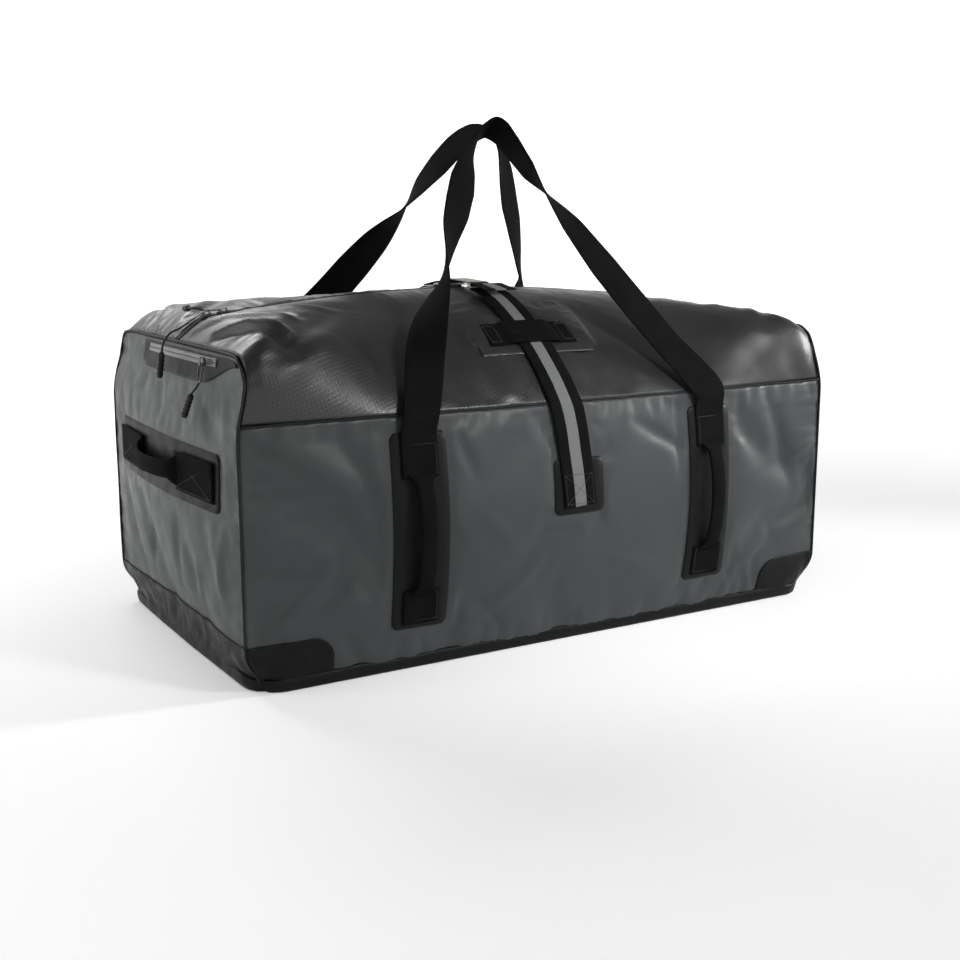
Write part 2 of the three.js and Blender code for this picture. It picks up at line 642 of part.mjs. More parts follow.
/** A flat metal frame with one window between two bars that run along x. */
function barFrame(front, rear) {
  const [dy, dz] = [rear.y - front.y, rear.z - front.z]
  const length = Math.hypot(dy, dz)
  const plate = roundedRectangle(THREE.Shape, FRAME_W, length + FRAME_BAR_W, 3)
  const hole = roundedRectangle(THREE.Path, FRAME_WINDOW, length - FRAME_BAR_W, 1)
  plate.holes.push(hole)
  const geometry = new THREE.ExtrudeGeometry(plate, {
    depth: FRAME_BAR_T, bevelEnabled: false, curveSegments: 3,
  })
  geometry.translate(0, 0, -FRAME_BAR_T / 2)
  geometry.rotateX(Math.atan2(dz, dy))
  geometry.translate(BUCKLE_X, (front.y + rear.y) / 2, (front.z + rear.z) / 2)
  return closed(geometry)
}

add('buckle_frame', barFrame(frontBar, hookBar), METAL)
add('buckle_ring', barFrame(ringFrontBar, ringRearBar), METAL)

// The hook curls round the frame's bar, crosses the zip and drops behind the ring's front bar.
const HOOK_W = 30
const HOOK_T = 2
const hookPoints = []
const hookFaces = []
for (let i = 0; i <= 9; i++) {
  const a = -0.15 * Math.PI - (i / 9) * 1.35 * Math.PI
  hookPoints.push([BUCKLE_X, hookBar.y + BAR_TURN_R * Math.cos(a), hookBar.z + BAR_TURN_R * Math.sin(a)])
  hookFaces.push([0, Math.cos(a), Math.sin(a)])
}
const plateZ = ringFrontBar.z + 7
const hookDrop = 7.6
const hookReach = 5
for (const k of [0.3, 0.6, 0.92]) {
  hookPoints.push([BUCKLE_X, lerp(hookBar.y, ringFrontBar.y, k), lerp(hookBar.z + BAR_TURN_R, plateZ, k)])
  hookFaces.push([0, 0, 1])
}
for (let i = 1; i <= 4; i++) {
  const a = Math.PI / 2 - (i / 4) * 0.52 * Math.PI
  const [y, z] = [ringFrontBar.y + hookReach * Math.cos(a), plateZ - hookDrop * (1 - Math.sin(a))]
  hookPoints.push([BUCKLE_X, y, z])
  hookFaces.push([0, Math.cos(a), Math.sin(a)])
}
add('buckle_hook', ribbon(hookPoints, hookFaces, HOOK_W, HOOK_T, 30), METAL)

// Keeper: a reinforcing patch on the top and a webbing bridge over the strap.
const keeperP = [0.48, 0.6]
const keeperX = [-82, 54]
const keeperMargin = 22
add('keeper_patch', slab(6, 4, (u, v, t) => {
  const x = lerp(keeperX[0] - keeperMargin, keeperX[1] + keeperMargin, u)
  return topPoint(-1, x, lerp(keeperP[0] - 0.06, keeperP[1] + 0.06, v), lerp(0.4, 1.2, t))
}), WELDED)
add('strap_keeper', slab(16, 2, (u, v, t) => {
  const x = lerp(...keeperX, u)
  const bridge = 4.2 * smoothstep(46 - Math.abs(x - BUCKLE_X), 0, 16)
  return topPoint(-1, x, lerp(...keeperP, v), 1.6 + bridge + lerp(0, 1.8, t))
}), WEB)

// ---- carry straps: each rises from two patches, twists and leans in to the middle ----
// The outer face's direction is listed with each place, because the webbing turns over as it rises.
const frontStrap = [
  [[-231, -265, 304], [0, -1, 0]],
  [[-229, -268, 323], [0, -1, 0.1]],
  [[-216, -251, 358], [-0.1, -0.9, 0.5]],
  [[-199, -226, 400], [-0.3, -0.75, 0.6]],
  [[-177, -200, 438], [-0.65, -0.35, 0.65]],
  [[-153, -178, 471], [-0.85, 0.1, 0.55]],
  [[-134, -161, 498], [-0.85, 0.5, 0.2]],
  [[-109, -132, 544], [-0.6, 0.8, -0.1]],
  [[-87, -112, 575], [-0.4, 0.9, -0.25]],
  [[-66, -91, 607], [-0.35, 0.9, -0.25]],
  [[-45, -73, 636], [-0.6, 0.8, 0]],
  [[-28, -58, 659], [-0.75, 0.6, 0.3]],
  [[-10, -46, 678], [-0.45, 0.55, 0.7]],
  [[8, -40, 687], [0, 0.5, 0.85]],
  [[23, -44, 680], [0.45, 0.4, 0.8]],
  [[34, -57, 660], [0.75, 0.2, 0.6]],
  [[48, -78, 628], [0.85, -0.05, 0.5]],
  [[65, -98, 597], [0.65, -0.45, 0.6]],
  [[90, -126, 553], [0.25, -0.8, 0.6]],
  [[120, -162, 496], [0, -0.85, 0.5]],
  [[155, -200, 436], [-0.05, -0.85, 0.5]],
  [[184, -232, 388], [0, -0.9, 0.5]],
  [[212, -257, 350], [0, -0.95, 0.3]],
  [[229, -269, 323], [0, -1, 0.05]],
  [[231, -265, 304], [0, -1, 0]],
]
const rearStrap = [
  [[-231, 265, 304], [0, 1, 0]],
  [[-229, 268, 323], [0, 1, 0.1]],
  [[-210, 250, 358], [0.2, 0.95, 0.3]],
  [[-176, 219, 405], [0.4, 0.9, 0.2]],
  [[-141, 190, 448], [0.45, 0.85, 0.2]],
  [[-113, 164, 488], [0.35, 0.9, 0.3]],
  [[-86, 137, 528], [0, 0.85, 0.5]],
  [[-68, 119, 555], [-0.35, 0.65, 0.65]],
  [[-54, 103, 578], [-0.65, 0.35, 0.65]],
  [[-38, 83, 609], [-0.85, 0, 0.5]],
  [[-18, 63, 639], [-0.85, -0.25, 0.45]],
  [[1, 46, 665], [-0.75, -0.35, 0.55]],
  [[20, 36, 682], [-0.4, -0.4, 0.85]],
  [[40, 33, 688], [0, -0.4, 0.9]],
  [[63, 39, 677], [0.45, -0.6, 0.65]],
  [[84, 54, 653], [0.5, -0.8, 0.35]],
  [[104, 72, 625], [0.4, -0.9, 0.15]],
  [[124, 94, 593], [0.4, -0.9, 0.05]],
  [[154, 124, 547], [0.55, -0.85, 0]],
  [[187, 161, 492], [0.75, -0.65, 0.05]],
  [[213, 192, 445], [0.85, -0.4, 0.25]],
  [[231, 232, 402], [0.7, 0.5, 0.5]],
  [[234, 260, 358], [0.2, 0.95, 0.25]],
  [[231, 269, 323], [0, 1, 0.05]],
  [[231, 265, 304], [0, 1, 0]],
]
for (const [name, route] of [['front', frontStrap], ['rear', rearStrap]]) {
  add(`${name}_carry_strap`,
    ribbon(route.map(([at]) => at), route.map(([, face]) => face), WEBBING, WEBBING_T, 92, 4), WEB)
}

export default bag
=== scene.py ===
"""Looks of the hockey equipment bag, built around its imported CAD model.

Metres, in the frame of the CAD part: +X along the bag, -Y is its front, +Z is up.
"""
import math

import bpy
import numpy as np
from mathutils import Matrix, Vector


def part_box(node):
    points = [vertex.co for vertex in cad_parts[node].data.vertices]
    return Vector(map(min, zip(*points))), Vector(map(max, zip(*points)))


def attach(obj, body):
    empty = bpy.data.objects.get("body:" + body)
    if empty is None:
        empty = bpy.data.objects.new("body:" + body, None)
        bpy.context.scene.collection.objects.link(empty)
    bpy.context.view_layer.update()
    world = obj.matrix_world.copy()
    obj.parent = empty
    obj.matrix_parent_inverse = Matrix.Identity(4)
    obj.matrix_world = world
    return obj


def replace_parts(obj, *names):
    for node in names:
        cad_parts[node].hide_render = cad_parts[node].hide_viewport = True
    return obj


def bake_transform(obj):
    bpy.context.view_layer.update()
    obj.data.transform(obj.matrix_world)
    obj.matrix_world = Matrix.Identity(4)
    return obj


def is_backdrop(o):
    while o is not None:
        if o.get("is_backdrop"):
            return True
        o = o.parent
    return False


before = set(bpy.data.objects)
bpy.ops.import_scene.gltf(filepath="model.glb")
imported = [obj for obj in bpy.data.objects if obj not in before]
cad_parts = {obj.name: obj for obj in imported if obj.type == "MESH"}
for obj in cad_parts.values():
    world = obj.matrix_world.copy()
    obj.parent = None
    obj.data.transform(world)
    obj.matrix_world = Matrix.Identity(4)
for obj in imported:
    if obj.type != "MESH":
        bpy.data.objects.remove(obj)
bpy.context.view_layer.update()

MM = 0.001
SIDES = (("front", -1), ("rear", 1))
ENDS = (("left", -1), ("right", 1))

# ---- sizes, from the frame where it holds them ----
END_LOW, END_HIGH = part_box("left_end_panel")
HALF_D = END_HIGH.y                 # to the edges of the end panels
END_Z = END_HIGH.z                  # top edge of the end panels
PANEL_LOW = END_LOW.z
HALF_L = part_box("front_panel")[1].x + 2.6 * MM
SEAM_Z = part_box("front_panel")[1].z + 0.2 * MM
BASE_LOW, BASE_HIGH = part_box("base")
RIDGE_Z = 0.464                     # the zip's arc: its highest point, radius and middle
RIDGE_RADIUS = 2.45
RIDGE_X = -0.03
RIDGE_LEVEL = 0.402                 # past this distance the ridge falls to the end panels
FRONT_BOW, SEAM_BOW, END_BOW = 0.026, 0.010, 0.040
GAP, PATCH_T = 0.6 * MM, 1.2 * MM
ON_PATCH = 2 * GAP + PATCH_T
WEBBING = 0.050
WEBBING_T = 2.4 * MM
SKIN = 1.6 * MM
SCUFF_Z = 0.060
SIDE_REACH, SIDE_TOP = HALF_L - 0.4 * MM, SEAM_Z - 0.2 * MM
END_CROWD = 1.3                     # crowds the end panels' columns towards their edges
TRIM_LOW = BASE_HIGH.z + GAP
STRAP_X = 0.231
PATCH_W = 0.076
PATCH_Z = (0.055, 0.305)
CENTRE_PATCH_W = 0.078
CENTRE_PATCH_Z = (0.180, 0.253)
BUCKLE_X = -0.014
ZIP_TAPE_W = 9 * MM
END_PATCH_Y = 0.198
END_PATCH_Z = (0.214, 0.286)
END_RUN_Y = 0.186
POCKET_Y = (-0.226, 0.118)
POCKET_ZIP_Y = (-0.165, 0.088)
POCKET_ZIP_Z = 0.392


# ---- the bag's surfaces, as in the CAD source, on arrays ----
def smooth(x, low, high):
    t = np.clip((x - low) / (high - low), 0, 1)
    return t * t * (3 - 2 * t)


def swell(across, up):
    return np.cos(np.pi * across / 2) * np.sin(np.pi * np.clip(up, 0, 1))


def side_y(x, z):
    across = x / HALF_L
    seam = SEAM_BOW * np.cos(np.pi * across / 2) * smooth(z / SEAM_Z, 0, 1)
    return HALF_D + FRONT_BOW * swell(across, z / SEAM_Z) + seam


def end_x(y, z):
    return HALF_L + END_BOW * swell(y / HALF_D, z / END_Z)


def end_top(y):
    return SEAM_Z + (END_Z - SEAM_Z) * np.sqrt(np.maximum(0, 1 - np.abs(y / HALF_D) ** 20))


def ridge_z(x):
    arc = RIDGE_Z - RIDGE_RADIUS + np.sqrt(RIDGE_RADIUS ** 2 - (x - RIDGE_X) ** 2)
    fall = np.clip((np.abs(x) - RIDGE_LEVEL) / (HALF_L - RIDGE_LEVEL), 0, 1) ** 1.5
    return arc + (END_Z - arc) * fall


def top_point(x, p, off=0.0):
    """(y, z) on the rear half of the top, p from 0 at the side seam to 1 at the ridge."""
    boxy = np.clip((np.abs(x) / HALF_L - 0.4) / 0.55, 0, 1) ** 1.6
    a = 2.1 + (20 - 2.1) * boxy ** 2
    b = 0.9 + (0.5 - 0.9) * boxy
    half = side_y(x, SEAM_Z)
    rise = ridge_z(x) - SEAM_Z

    def at(q):
        turn = np.pi / 2 * (1 - (1 - np.clip(q, 0, 1)) ** (1 + 2 * boxy))
        level = np.clip(np.cos(turn), 0, 1) ** (2 / a)
        return half * level, SEAM_Z + rise * np.clip(np.sin(turn), 0, 1) ** (2 * b)

    y, z = at(p)
    (y0, z0), (y1, z1) = at(p - 0.01), at(p + 0.01)
    span = np.maximum(np.hypot(y1 - y0, z1 - z0), 1e-9)
    return y + off * (z1 - z0) / span, z + off * (y0 - y1) / span


SETTLED = {}                        # panel -> how far its cloth has moved, on its own grid


def settled_shift(key, i, j):
    """How far a panel's cloth has moved at the share i, j of its grid's rows and columns."""
    if key not in SETTLED:
        return 0.0
    moved = SETTLED[key]
    rows, columns = moved.shape[0] - 1, moved.shape[1] - 1
    i, j = np.clip(i, 0, 1) * rows, np.clip(j, 0, 1) * columns
    i0, j0 = np.minimum(i.astype(int), rows - 1), np.minimum(j.astype(int), columns - 1)
    u, v = (i - i0)[..., None], (j - j0)[..., None]
    near = moved[i0, j0] * (1 - v) + moved[i0, j0 + 1] * v
    return near * (1 - u) + (moved[i0 + 1, j0] * (1 - v) + moved[i0 + 1, j0 + 1] * v) * u


def on_side(side, x, z, off):
    x, z, off = np.broadcast_arrays(x, z, off)
    i, j = (x / SIDE_REACH + 1) / 2, (z - PANEL_LOW) / (SIDE_TOP - PANEL_LOW)
    return np.stack([x, side * (side_y(x, z) + off), z], -1) + settled_shift(("side", side), i, j)


def on_end(side, y, z, off):
    y, z, off = np.broadcast_arrays(y, z, off)
    w = np.sign(y) * (1 - (1 - np.minimum(np.abs(y) / HALF_D, 1)) ** (1 / END_CROWD))
    i, j = (w + 1) / 2, (z - PANEL_LOW) / (end_top(y) - PANEL_LOW)
    return np.stack([side * (end_x(y, z) + off), y, z], -1) + settled_shift(("end", side), i, j)


def on_top(side, x, p, off):
    y, z = top_point(x, p, off)
    return np.stack([x + 0 * y, side * y, z], -1)


# ---- node materials ----
class Look:
    """A procedural material: one Principled shader and short ways to make what feeds it."""

    def __init__(self, name, colour, roughness, solid=False, **sockets):
        self.mat = bpy.data.materials.new(name)
        self.mat.use_nodes = True
        self.tree = self.mat.node_tree
        self.shader = self.tree.nodes["Principled BSDF"]
        self.shader.inputs["Base Color"].default_value = (*colour, 1)
        self.shader.inputs["Roughness"].default_value = roughness
        for key, value in sockets.items():
            self.shader.inputs[key.replace("_", " ")].default_value = value
        kind, output = ("ShaderNodeTexCoord", 3) if solid else ("ShaderNodeUVMap", 0)
        self.uv = self.node(kind).outputs[output]
        split = self.node("ShaderNodeSeparateXYZ", Vector=self.uv)
        self.along, self.across = split.outputs[0], split.outputs[1]

    def node(self, kind, settings=None, **inputs):
        made = self.tree.nodes.new(kind)
        for key, value in (settings or {}).items():
            setattr(made, key, value)
        for key, value in inputs.items():
            socket = made.inputs[key.replace("_", " ")]
            if isinstance(value, bpy.types.NodeSocket):
                self.tree.links.new(value, socket)
            else:
                socket.default_value = value
        return made

    def math(self, operation, *values):
        made = self.tree.nodes.new("ShaderNodeMath")
        made.operation = operation
        for socket, value in zip(made.inputs, values):
            if isinstance(value, bpy.types.NodeSocket):
                self.tree.links.new(value, socket)
            else:
                socket.default_value = value
        return made.outputs[0]

    def noise(self, scale, detail=3.0, stretch=None):
        coordinates = self.uv
        if stretch:
            coordinates = self.node("ShaderNodeMapping", Vector=self.uv, Scale=stretch).outputs[0]
        return self.node("ShaderNodeTexNoise", Vector=coordinates, Scale=scale, Detail=detail).outputs[0]

    def ribs(self, value, pitch):
        """A wave from 0 to 1 with that pitch along value."""
        turned = self.math("SINE", self.math("MULTIPLY", value, 2 * math.pi / pitch))
        return self.math("MULTIPLY_ADD", turned, 0.5, 0.5)

    def span(self, value, low, high, to_low, to_high):
        return self.node("ShaderNodeMapRange", Value=value, From_Min=low, From_Max=high,
                         To_Min=to_low, To_Max=to_high).outputs[0]

    def feed(self, name, socket):
        self.tree.links.new(socket, self.shader.inputs[name])

    def tint(self, factor, low, high):
        """Base colour mixed from low to high by factor."""
        mix = self.tree.nodes.new("ShaderNodeMix")
        mix.data_type = "RGBA"
        self.tree.links.new(factor, mix.inputs[0])
        for socket, colour in ((mix.inputs[6], low), (mix.inputs[7], high)):
            if isinstance(colour, bpy.types.NodeSocket):
                self.tree.links.new(colour, socket)
            else:
                socket.default_value = (*colour, 1)
        self.feed("Base Color", mix.outputs[2])
        return mix.outputs[2]

    def bump(self, *layers):
        """Bump from (height socket, distance in metres, strength) layers, one on another."""
        normal = None
        for height, distance, strength in layers:
            made = self.node("ShaderNodeBump", Height=height, Distance=distance, Strength=strength)
            if normal:
                self.tree.links.new(normal, made.inputs["Normal"])
            normal = made.outputs[0]
        self.feed("Normal", normal)


def tarpaulin():
    look = Look("tarpaulin", (0.032, 0.036, 0.037), 0.38, Specular_IOR_Level=0.25)
    mottle = look.noise(9, 4)
    look.tint(mottle, (0.029, 0.0325, 0.0330), (0.037, 0.0410, 0.0415))
    look.feed("Roughness", look.span(look.noise(30, 5), 0.3, 0.7, 0.34, 0.50))
    scrim = look.math("MULTIPLY", look.ribs(look.along, 1.3 * MM), look.ribs(look.across, 1.3 * MM))
    look.bump((look.noise(55, 4), 1.2 * MM, 0.16), (look.noise(900, 2), 0.1 * MM, 0.25),
              (scrim, 0.05 * MM, 0.35))
    return look.mat


def ripstop():
    look = Look("ripstop", (0.014, 0.014, 0.0135), 0.34, Specular_IOR_Level=0.42)
    warp = look.ribs(look.math("MULTIPLY_ADD", look.across, 0.35, look.along), 5.2 * MM)
    weft = look.ribs(look.math("MULTIPLY_ADD", look.along, -0.35, look.across), 5.2 * MM)
    lines = look.math("MAXIMUM", look.math("POWER", warp, 9.0), look.math("POWER", weft, 9.0))
    look.tint(lines, (0.011, 0.011, 0.0106), (0.023, 0.0225, 0.0215))
    look.feed("Roughness", look.span(look.noise(24, 5), 0.3, 0.7, 0.29, 0.43))
    look.bump((look.noise(60, 5), 1.2 * MM, 0.22), (lines, 0.14 * MM, 0.5))
    return look.mat


def welded_patch():
    look = Look("welded_patch", (0.011, 0.011, 0.011), 0.46, Specular_IOR_Level=0.09)
    look.tint(look.noise(14, 4), (0.0045, 0.0045, 0.0045), (0.0085, 0.0085, 0.0082))
    look.feed("Roughness", look.span(look.noise(40, 4), 0.3, 0.7, 0.36, 0.52))
    look.bump((look.noise(90, 3), 0.8 * MM, 0.15), (look.noise(1400, 2), 0.1 * MM, 0.3))
    return look.mat


def base_cloth():
    look = Look("base_cloth", (0.006, 0.006, 0.006), 0.42, Specular_IOR_Level=0.10)
    look.tint(look.noise(20, 4), (0.003, 0.003, 0.003), (0.006, 0.006, 0.006))
    look.feed("Roughness", look.span(look.noise(45, 5), 0.3, 0.7, 0.30, 0.55))
    weave = look.math("MULTIPLY", look.ribs(look.along, 1.6 * MM), look.ribs(look.across, 1.6 * MM))
    look.bump((look.noise(70, 4), 1.5 * MM, 0.25), (weave, 0.1 * MM, 0.5))
    return look.mat


def webbing(name="webbing", stripe=False):
    """Ribbed webbing: fine ribs across it, in a herringbone of narrow columns."""
    look = Look(name, (0.006, 0.006, 0.006), 0.74, Specular_IOR_Level=0.03)
    column = look.math("PINGPONG", look.math("ADD", look.across, 1.0), 2.2 * MM)
    chevron = look.ribs(look.math("ADD", look.along, column), 1.5 * MM)
    thread = look.ribs(look.across, 0.75 * MM)
    weave = look.math("MULTIPLY_ADD", thread, 0.35, chevron)
    dark, light = (0.0015, 0.0015, 0.0015), (0.0075, 0.0075, 0.0072)
    worn = look.math("MULTIPLY", weave, look.span(look.noise(25, 4), 0.3, 0.75, 0.5, 1.1))
    black = look.tint(worn, dark, light)
    if stripe:
        silver = look.tint(weave, (0.080, 0.083, 0.084), (0.175, 0.180, 0.182))
        inside = look.math("LESS_THAN", look.math("ABSOLUTE", look.across), 8.6 * MM)
        look.tint(inside, black, silver)
        look.feed("Roughness", look.span(inside, 0, 1, 0.74, 0.5))
    look.bump((weave, 0.35 * MM, 0.9))
    return look.mat


def tape():
    look = Look("zip_tape", (0.010, 0.010, 0.010), 0.8, Specular_IOR_Level=0.15)
    twill = look.ribs(look.math("ADD", look.along, look.across), 0.9 * MM)
    look.tint(twill, (0.006, 0.006, 0.006), (0.018, 0.018, 0.018))
    look.bump((twill, 0.15 * MM, 0.8))
    return look.mat


def plastic(name, colour, roughness):
    look = Look(name, colour, roughness, solid=True, Specular_IOR_Level=0.25)
    look.feed("Roughness", look.span(look.noise(300, 4), 0.3, 0.7, roughness - 0.08, roughness + 0.1))
    look.bump((look.noise(1200, 2), 0.05 * MM, 0.3))
    return look.mat


def metal(name, colour, roughness):
    look = Look(name, colour, roughness, solid=True, Metallic=1.0)
    dull = tuple(0.55 * c for c in colour)
    look.tint(look.span(look.noise(160, 5), 0.35, 0.65, 0, 1), dull, colour)
    brushed = look.noise(220, 3, stretch=(1, 18, 1))
    look.feed("Roughness", look.span(brushed, 0.3, 0.7, roughness - 0.08, roughness + 0.14))
    look.bump((brushed, 0.05 * MM, 0.3))
    return look.mat


def sealed_zip_band():
    look = Look("sealed_zip_band", (0.085, 0.085, 0.085), 0.3, Specular_IOR_Level=0.6)
    look.tint(look.noise(50, 4), (0.03, 0.03, 0.03), (0.085, 0.085, 0.085))
    look.bump((look.noise(160, 4), 0.5 * MM, 0.3))
    return look.mat


def thread(name, colour):
    look = Look(name, colour, 0.6)
    look.bump((look.ribs(look.along, 0.7 * MM), 0.08 * MM, 0.6))
    return look.mat


TARPAULIN = tarpaulin()
RIPSTOP = ripstop()
WELDED = welded_patch()
BASE_CLOTH = base_cloth()
WEB = webbing()
STRIPED_WEB = webbing("striped_webbing", stripe=True)
TAPE = tape()
COIL = plastic("zip_coil", (0.012, 0.012, 0.012), 0.35)
PIPING = plastic("piping_cloth", (0.004, 0.004, 0.004), 0.6)
RUBBER = plastic("pull_rubber", (0.005, 0.005, 0.005), 0.45)
SILVER = metal("plated_metal", (0.72, 0.69, 0.64), 0.26)
GUNMETAL = metal("dark_metal", (0.10, 0.10, 0.10), 0.32)
ZIP_BAND = sealed_zip_band()
THREAD = thread("dark_thread", (0.016, 0.016, 0.016))
LINING = tape()
LINING.name = "lining"


# ---- meshes ----
FOOT_CORNER = 0.040                 # how round the bag's four corners are at the floor


def slumped(points):
    """
    The filled bag's own slump: its corners stand out between the base and the top, so the ends are
    flatter than the CAD solid's, and the foot of each corner is drawn in.
    """
    x, y, z = points.T
    near_end = smooth(np.abs(x), 0.33, 0.44)
    height = (1.15 * smooth(z, 0, 0.05) - 0.15) * (1 - smooth(z, 0.31, 0.385))
    out = (13 - 23 * np.cos(np.pi / 2 * np.clip(y / HALF_D, -1, 1))) * MM * height
    moved = points.copy()
    past_x, past_y = np.abs(x) - (HALF_L - FOOT_CORNER), np.abs(y) - (HALF_D - FOOT_CORNER)
    corner = (past_x > 0) & (past_y > 0)
    drawn = np.maximum(past_x, past_y) / np.maximum(np.hypot(past_x, past_y), 1e-9)
    back = np.where(corner, (1 - drawn) * (1 - smooth(z, 0, 0.060)), 0)
    moved[:, 0] += np.sign(x) * (near_end * out - back * past_x)
    moved[:, 1] -= np.sign(y) * back * past_y
    return moved


def mesh_piece(name, points, faces, uv, material, slot, body="bag_body", round_off=True):
    """A piece from vertices, faces and one UV, in metres of cloth, for each vertex."""
    mesh = bpy.data.meshes.new(name)
    points = np.asarray(points, float)
    sewn_on = body in ("bag_body", None)
    mesh.from_pydata((slumped(points) if sewn_on else points).tolist(), [], faces)
    layer = mesh.uv_layers.new(name="cloth")
    index = np.empty(len(mesh.loops), int)
    mesh.loops.foreach_get("vertex_index", index)
    layer.data.foreach_set("uv", np.asarray(uv, np.float32)[index].ravel())
    mesh.materials.append(material)
    piece = bpy.data.objects.new(name, mesh)
    bpy.context.scene.collection.objects.link(piece)
    if round_off:
        mesh.shade_smooth()
    if body:
        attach(piece, body)
    return piece


def grid_faces(rows, columns, start=0, flip=False):
    i = np.arange(rows - 1)[:, None] * columns + np.arange(columns - 1)[None, :] + start
    quads = np.stack([i, i + columns, i + columns + 1, i + 1], -1).reshape(-1, 4)
    return (quads[:, ::-1] if flip else quads).tolist()


def normals_of(grid):
    du, dv = np.gradient(grid, axis=0), np.gradient(grid, axis=1)
    n = np.cross(du, dv)
    return n / np.maximum(np.linalg.norm(n, axis=-1, keepdims=True), 1e-12)


CENTRE = np.array([0.0, 0.0, 0.22])


def outward(grid):
    """Unit normals of a grid of points that look away from the middle of the bag."""
    n = normals_of(grid)
    return n if np.sum(n * (grid - CENTRE)) > 0 else -n


def cloth_uv(grid):
    """Distances along the middle row and column of a grid, in metres."""
    rows, columns = grid.shape[:2]
    u = np.r_[0, np.cumsum(np.linalg.norm(np.diff(grid[:, columns // 2], axis=0), axis=1))]
    v = np.r_[0, np.cumsum(np.linalg.norm(np.diff(grid[rows // 2], axis=0), axis=1))]
    return np.stack(np.meshgrid(u - u[-1] / 2, v - v[-1] / 2, indexing="ij"), -1)


def closed_grid(outer, inner, uv):
    """Vertices, faces and UVs of the closed body between two grids of points."""
    rows, columns = outer.shape[:2]
    n = rows * columns
    points = np.concatenate([outer.reshape(-1, 3), inner.reshape(-1, 3)])
    du, dv = outer[1:, :-1] - outer[:-1, :-1], outer[:-1, 1:] - outer[:-1, :-1]
    facing = np.sum(np.cross(du, dv) * (outer - inner)[:-1, :-1])
    turned = facing > 0
    faces = grid_faces(rows, columns, 0, not turned) + grid_faces(rows, columns, n, turned)
    ring = [i * columns for i in range(rows)]
    ring += [(rows - 1) * columns + j for j in range(1, columns)]
    ring += [i * columns + columns - 1 for i in range(rows - 2, -1, -1)]
    ring += list(range(columns - 2, 0, -1))
    for a, b in zip(ring, ring[1:] + ring[:1]):
        face = [a, b, b + n, a + n]
        faces.append(face if not turned else face[::-1])
    flat = uv.reshape(-1, 2)
    return points, faces, np.concatenate([flat, flat])


def panel(name, grid, thickness, material, slot, body="bag_body", uv=None):
    """A cloth panel whose outer face is a grid of points."""
    inner = grid - outward(grid) * thickness
    uv = cloth_uv(grid) if uv is None else uv
    return mesh_piece(name, *closed_grid(grid, inner, uv), material, slot, body)


def edged(count, length, edge=0.7 * MM):
    """count places over 0..1, with one more close to each end so that the edge rounds off."""
    inner = np.linspace(0, 1, count)
    near = min(edge / length, 0.2 / count)
    return np.r_[0, near, inner[1:-1], 1 - near, 1]


def plate(name, place, b_range, reach, thickness, material, slot, counts=(12, 12), base=0.0, body="bag_body"):
    """
    A welded or sewn-on piece: place(a, b, off) puts it on its surface and reach(b) gives its two
    edges at b. It thins at its rim.
    """
    b = b_range[0] + (b_range[1] - b_range[0]) * edged(counts[1], abs(b_range[1] - b_range[0]))
    low, high = reach(b)
    s = edged(counts[0], float(np.max(high - low)))
    a = low[None, :] + (high - low)[None, :] * s[:, None]
    bb = np.broadcast_to(b[None, :], a.shape)
    rise = np.ones(a.shape)
    rise[[0, -1], :] = rise[:, [0, -1]] = 0.45
    rise[0, 0] = rise[0, -1] = rise[-1, 0] = rise[-1, -1] = 0.35
    outer = place(a, bb, base + thickness * rise)
    inner = place(a, bb, base + 0 * a)
    return mesh_piece(name, *closed_grid(outer, inner, np.stack([a, bb], -1)), material, slot, body)


def rounded(a_range, b_range, radius):
    """A function that gives the two edges, at b, of a rectangle with round corners."""
    def reach(b):
        near = np.minimum(b - b_range[0], b_range[1] - b)
        past = np.clip(radius - near, 0, radius)
        inset = radius - np.sqrt(np.maximum(radius ** 2 - past ** 2, 0))
        return a_range[0] + inset, a_range[1] - inset
    return reach


def centripetal(points, count):
    """Places on a centripetal Catmull-Rom curve, as the CAD's curves are."""
    p = np.asarray(points, float)
    p = np.vstack([2 * p[0] - p[1], p, 2 * p[-1] - p[-2]])
    made = []
    for u in np.linspace(0, 1, count):
        k = min(u * (len(p) - 3), len(p) - 3 - 1e-9)
        i = int(k)
        w = k - i
        p0, p1, p2, p3 = p[i:i + 4]
        d0, d1, d2 = (max(np.linalg.norm(b - a) ** 0.5, 1e-6) for a, b in ((p0, p1), (p1, p2), (p2, p3)))
        m1 = ((p1 - p0) / d0 - (p2 - p0) / (d0 + d1) + (p2 - p1) / d1) * d1
        m2 = ((p2 - p1) / d1 - (p3 - p1) / (d1 + d2) + (p3 - p2) / d2) * d1
        c2 = -3 * p1 + 3 * p2 - 2 * m1 - m2
        c3 = 2 * p1 - 2 * p2 + m1 + m2
        made.append(p1 + m1 * w + c2 * w ** 2 + c3 * w ** 3)
    return np.array(made)


def spread(values, count):
    """Rows of values at count even places over them."""
    values = np.asarray(values, float)
    k = np.linspace(0, len(values) - 1, count)
    return np.stack([np.interp(k, np.arange(len(values)), values[:, i]) for i in range(values.shape[1])], -1)


def ribbon_frames(path, faces):
    """Unit directions along, across and out of a ribbon at each place of its path."""
    along = np.gradient(path, axis=0)
    along /= np.linalg.norm(along, axis=1, keepdims=True)
    out = faces - along * np.sum(faces * along, axis=1, keepdims=True)
    out /= np.linalg.norm(out, axis=1, keepdims=True)
    return along, np.cross(along, out), out


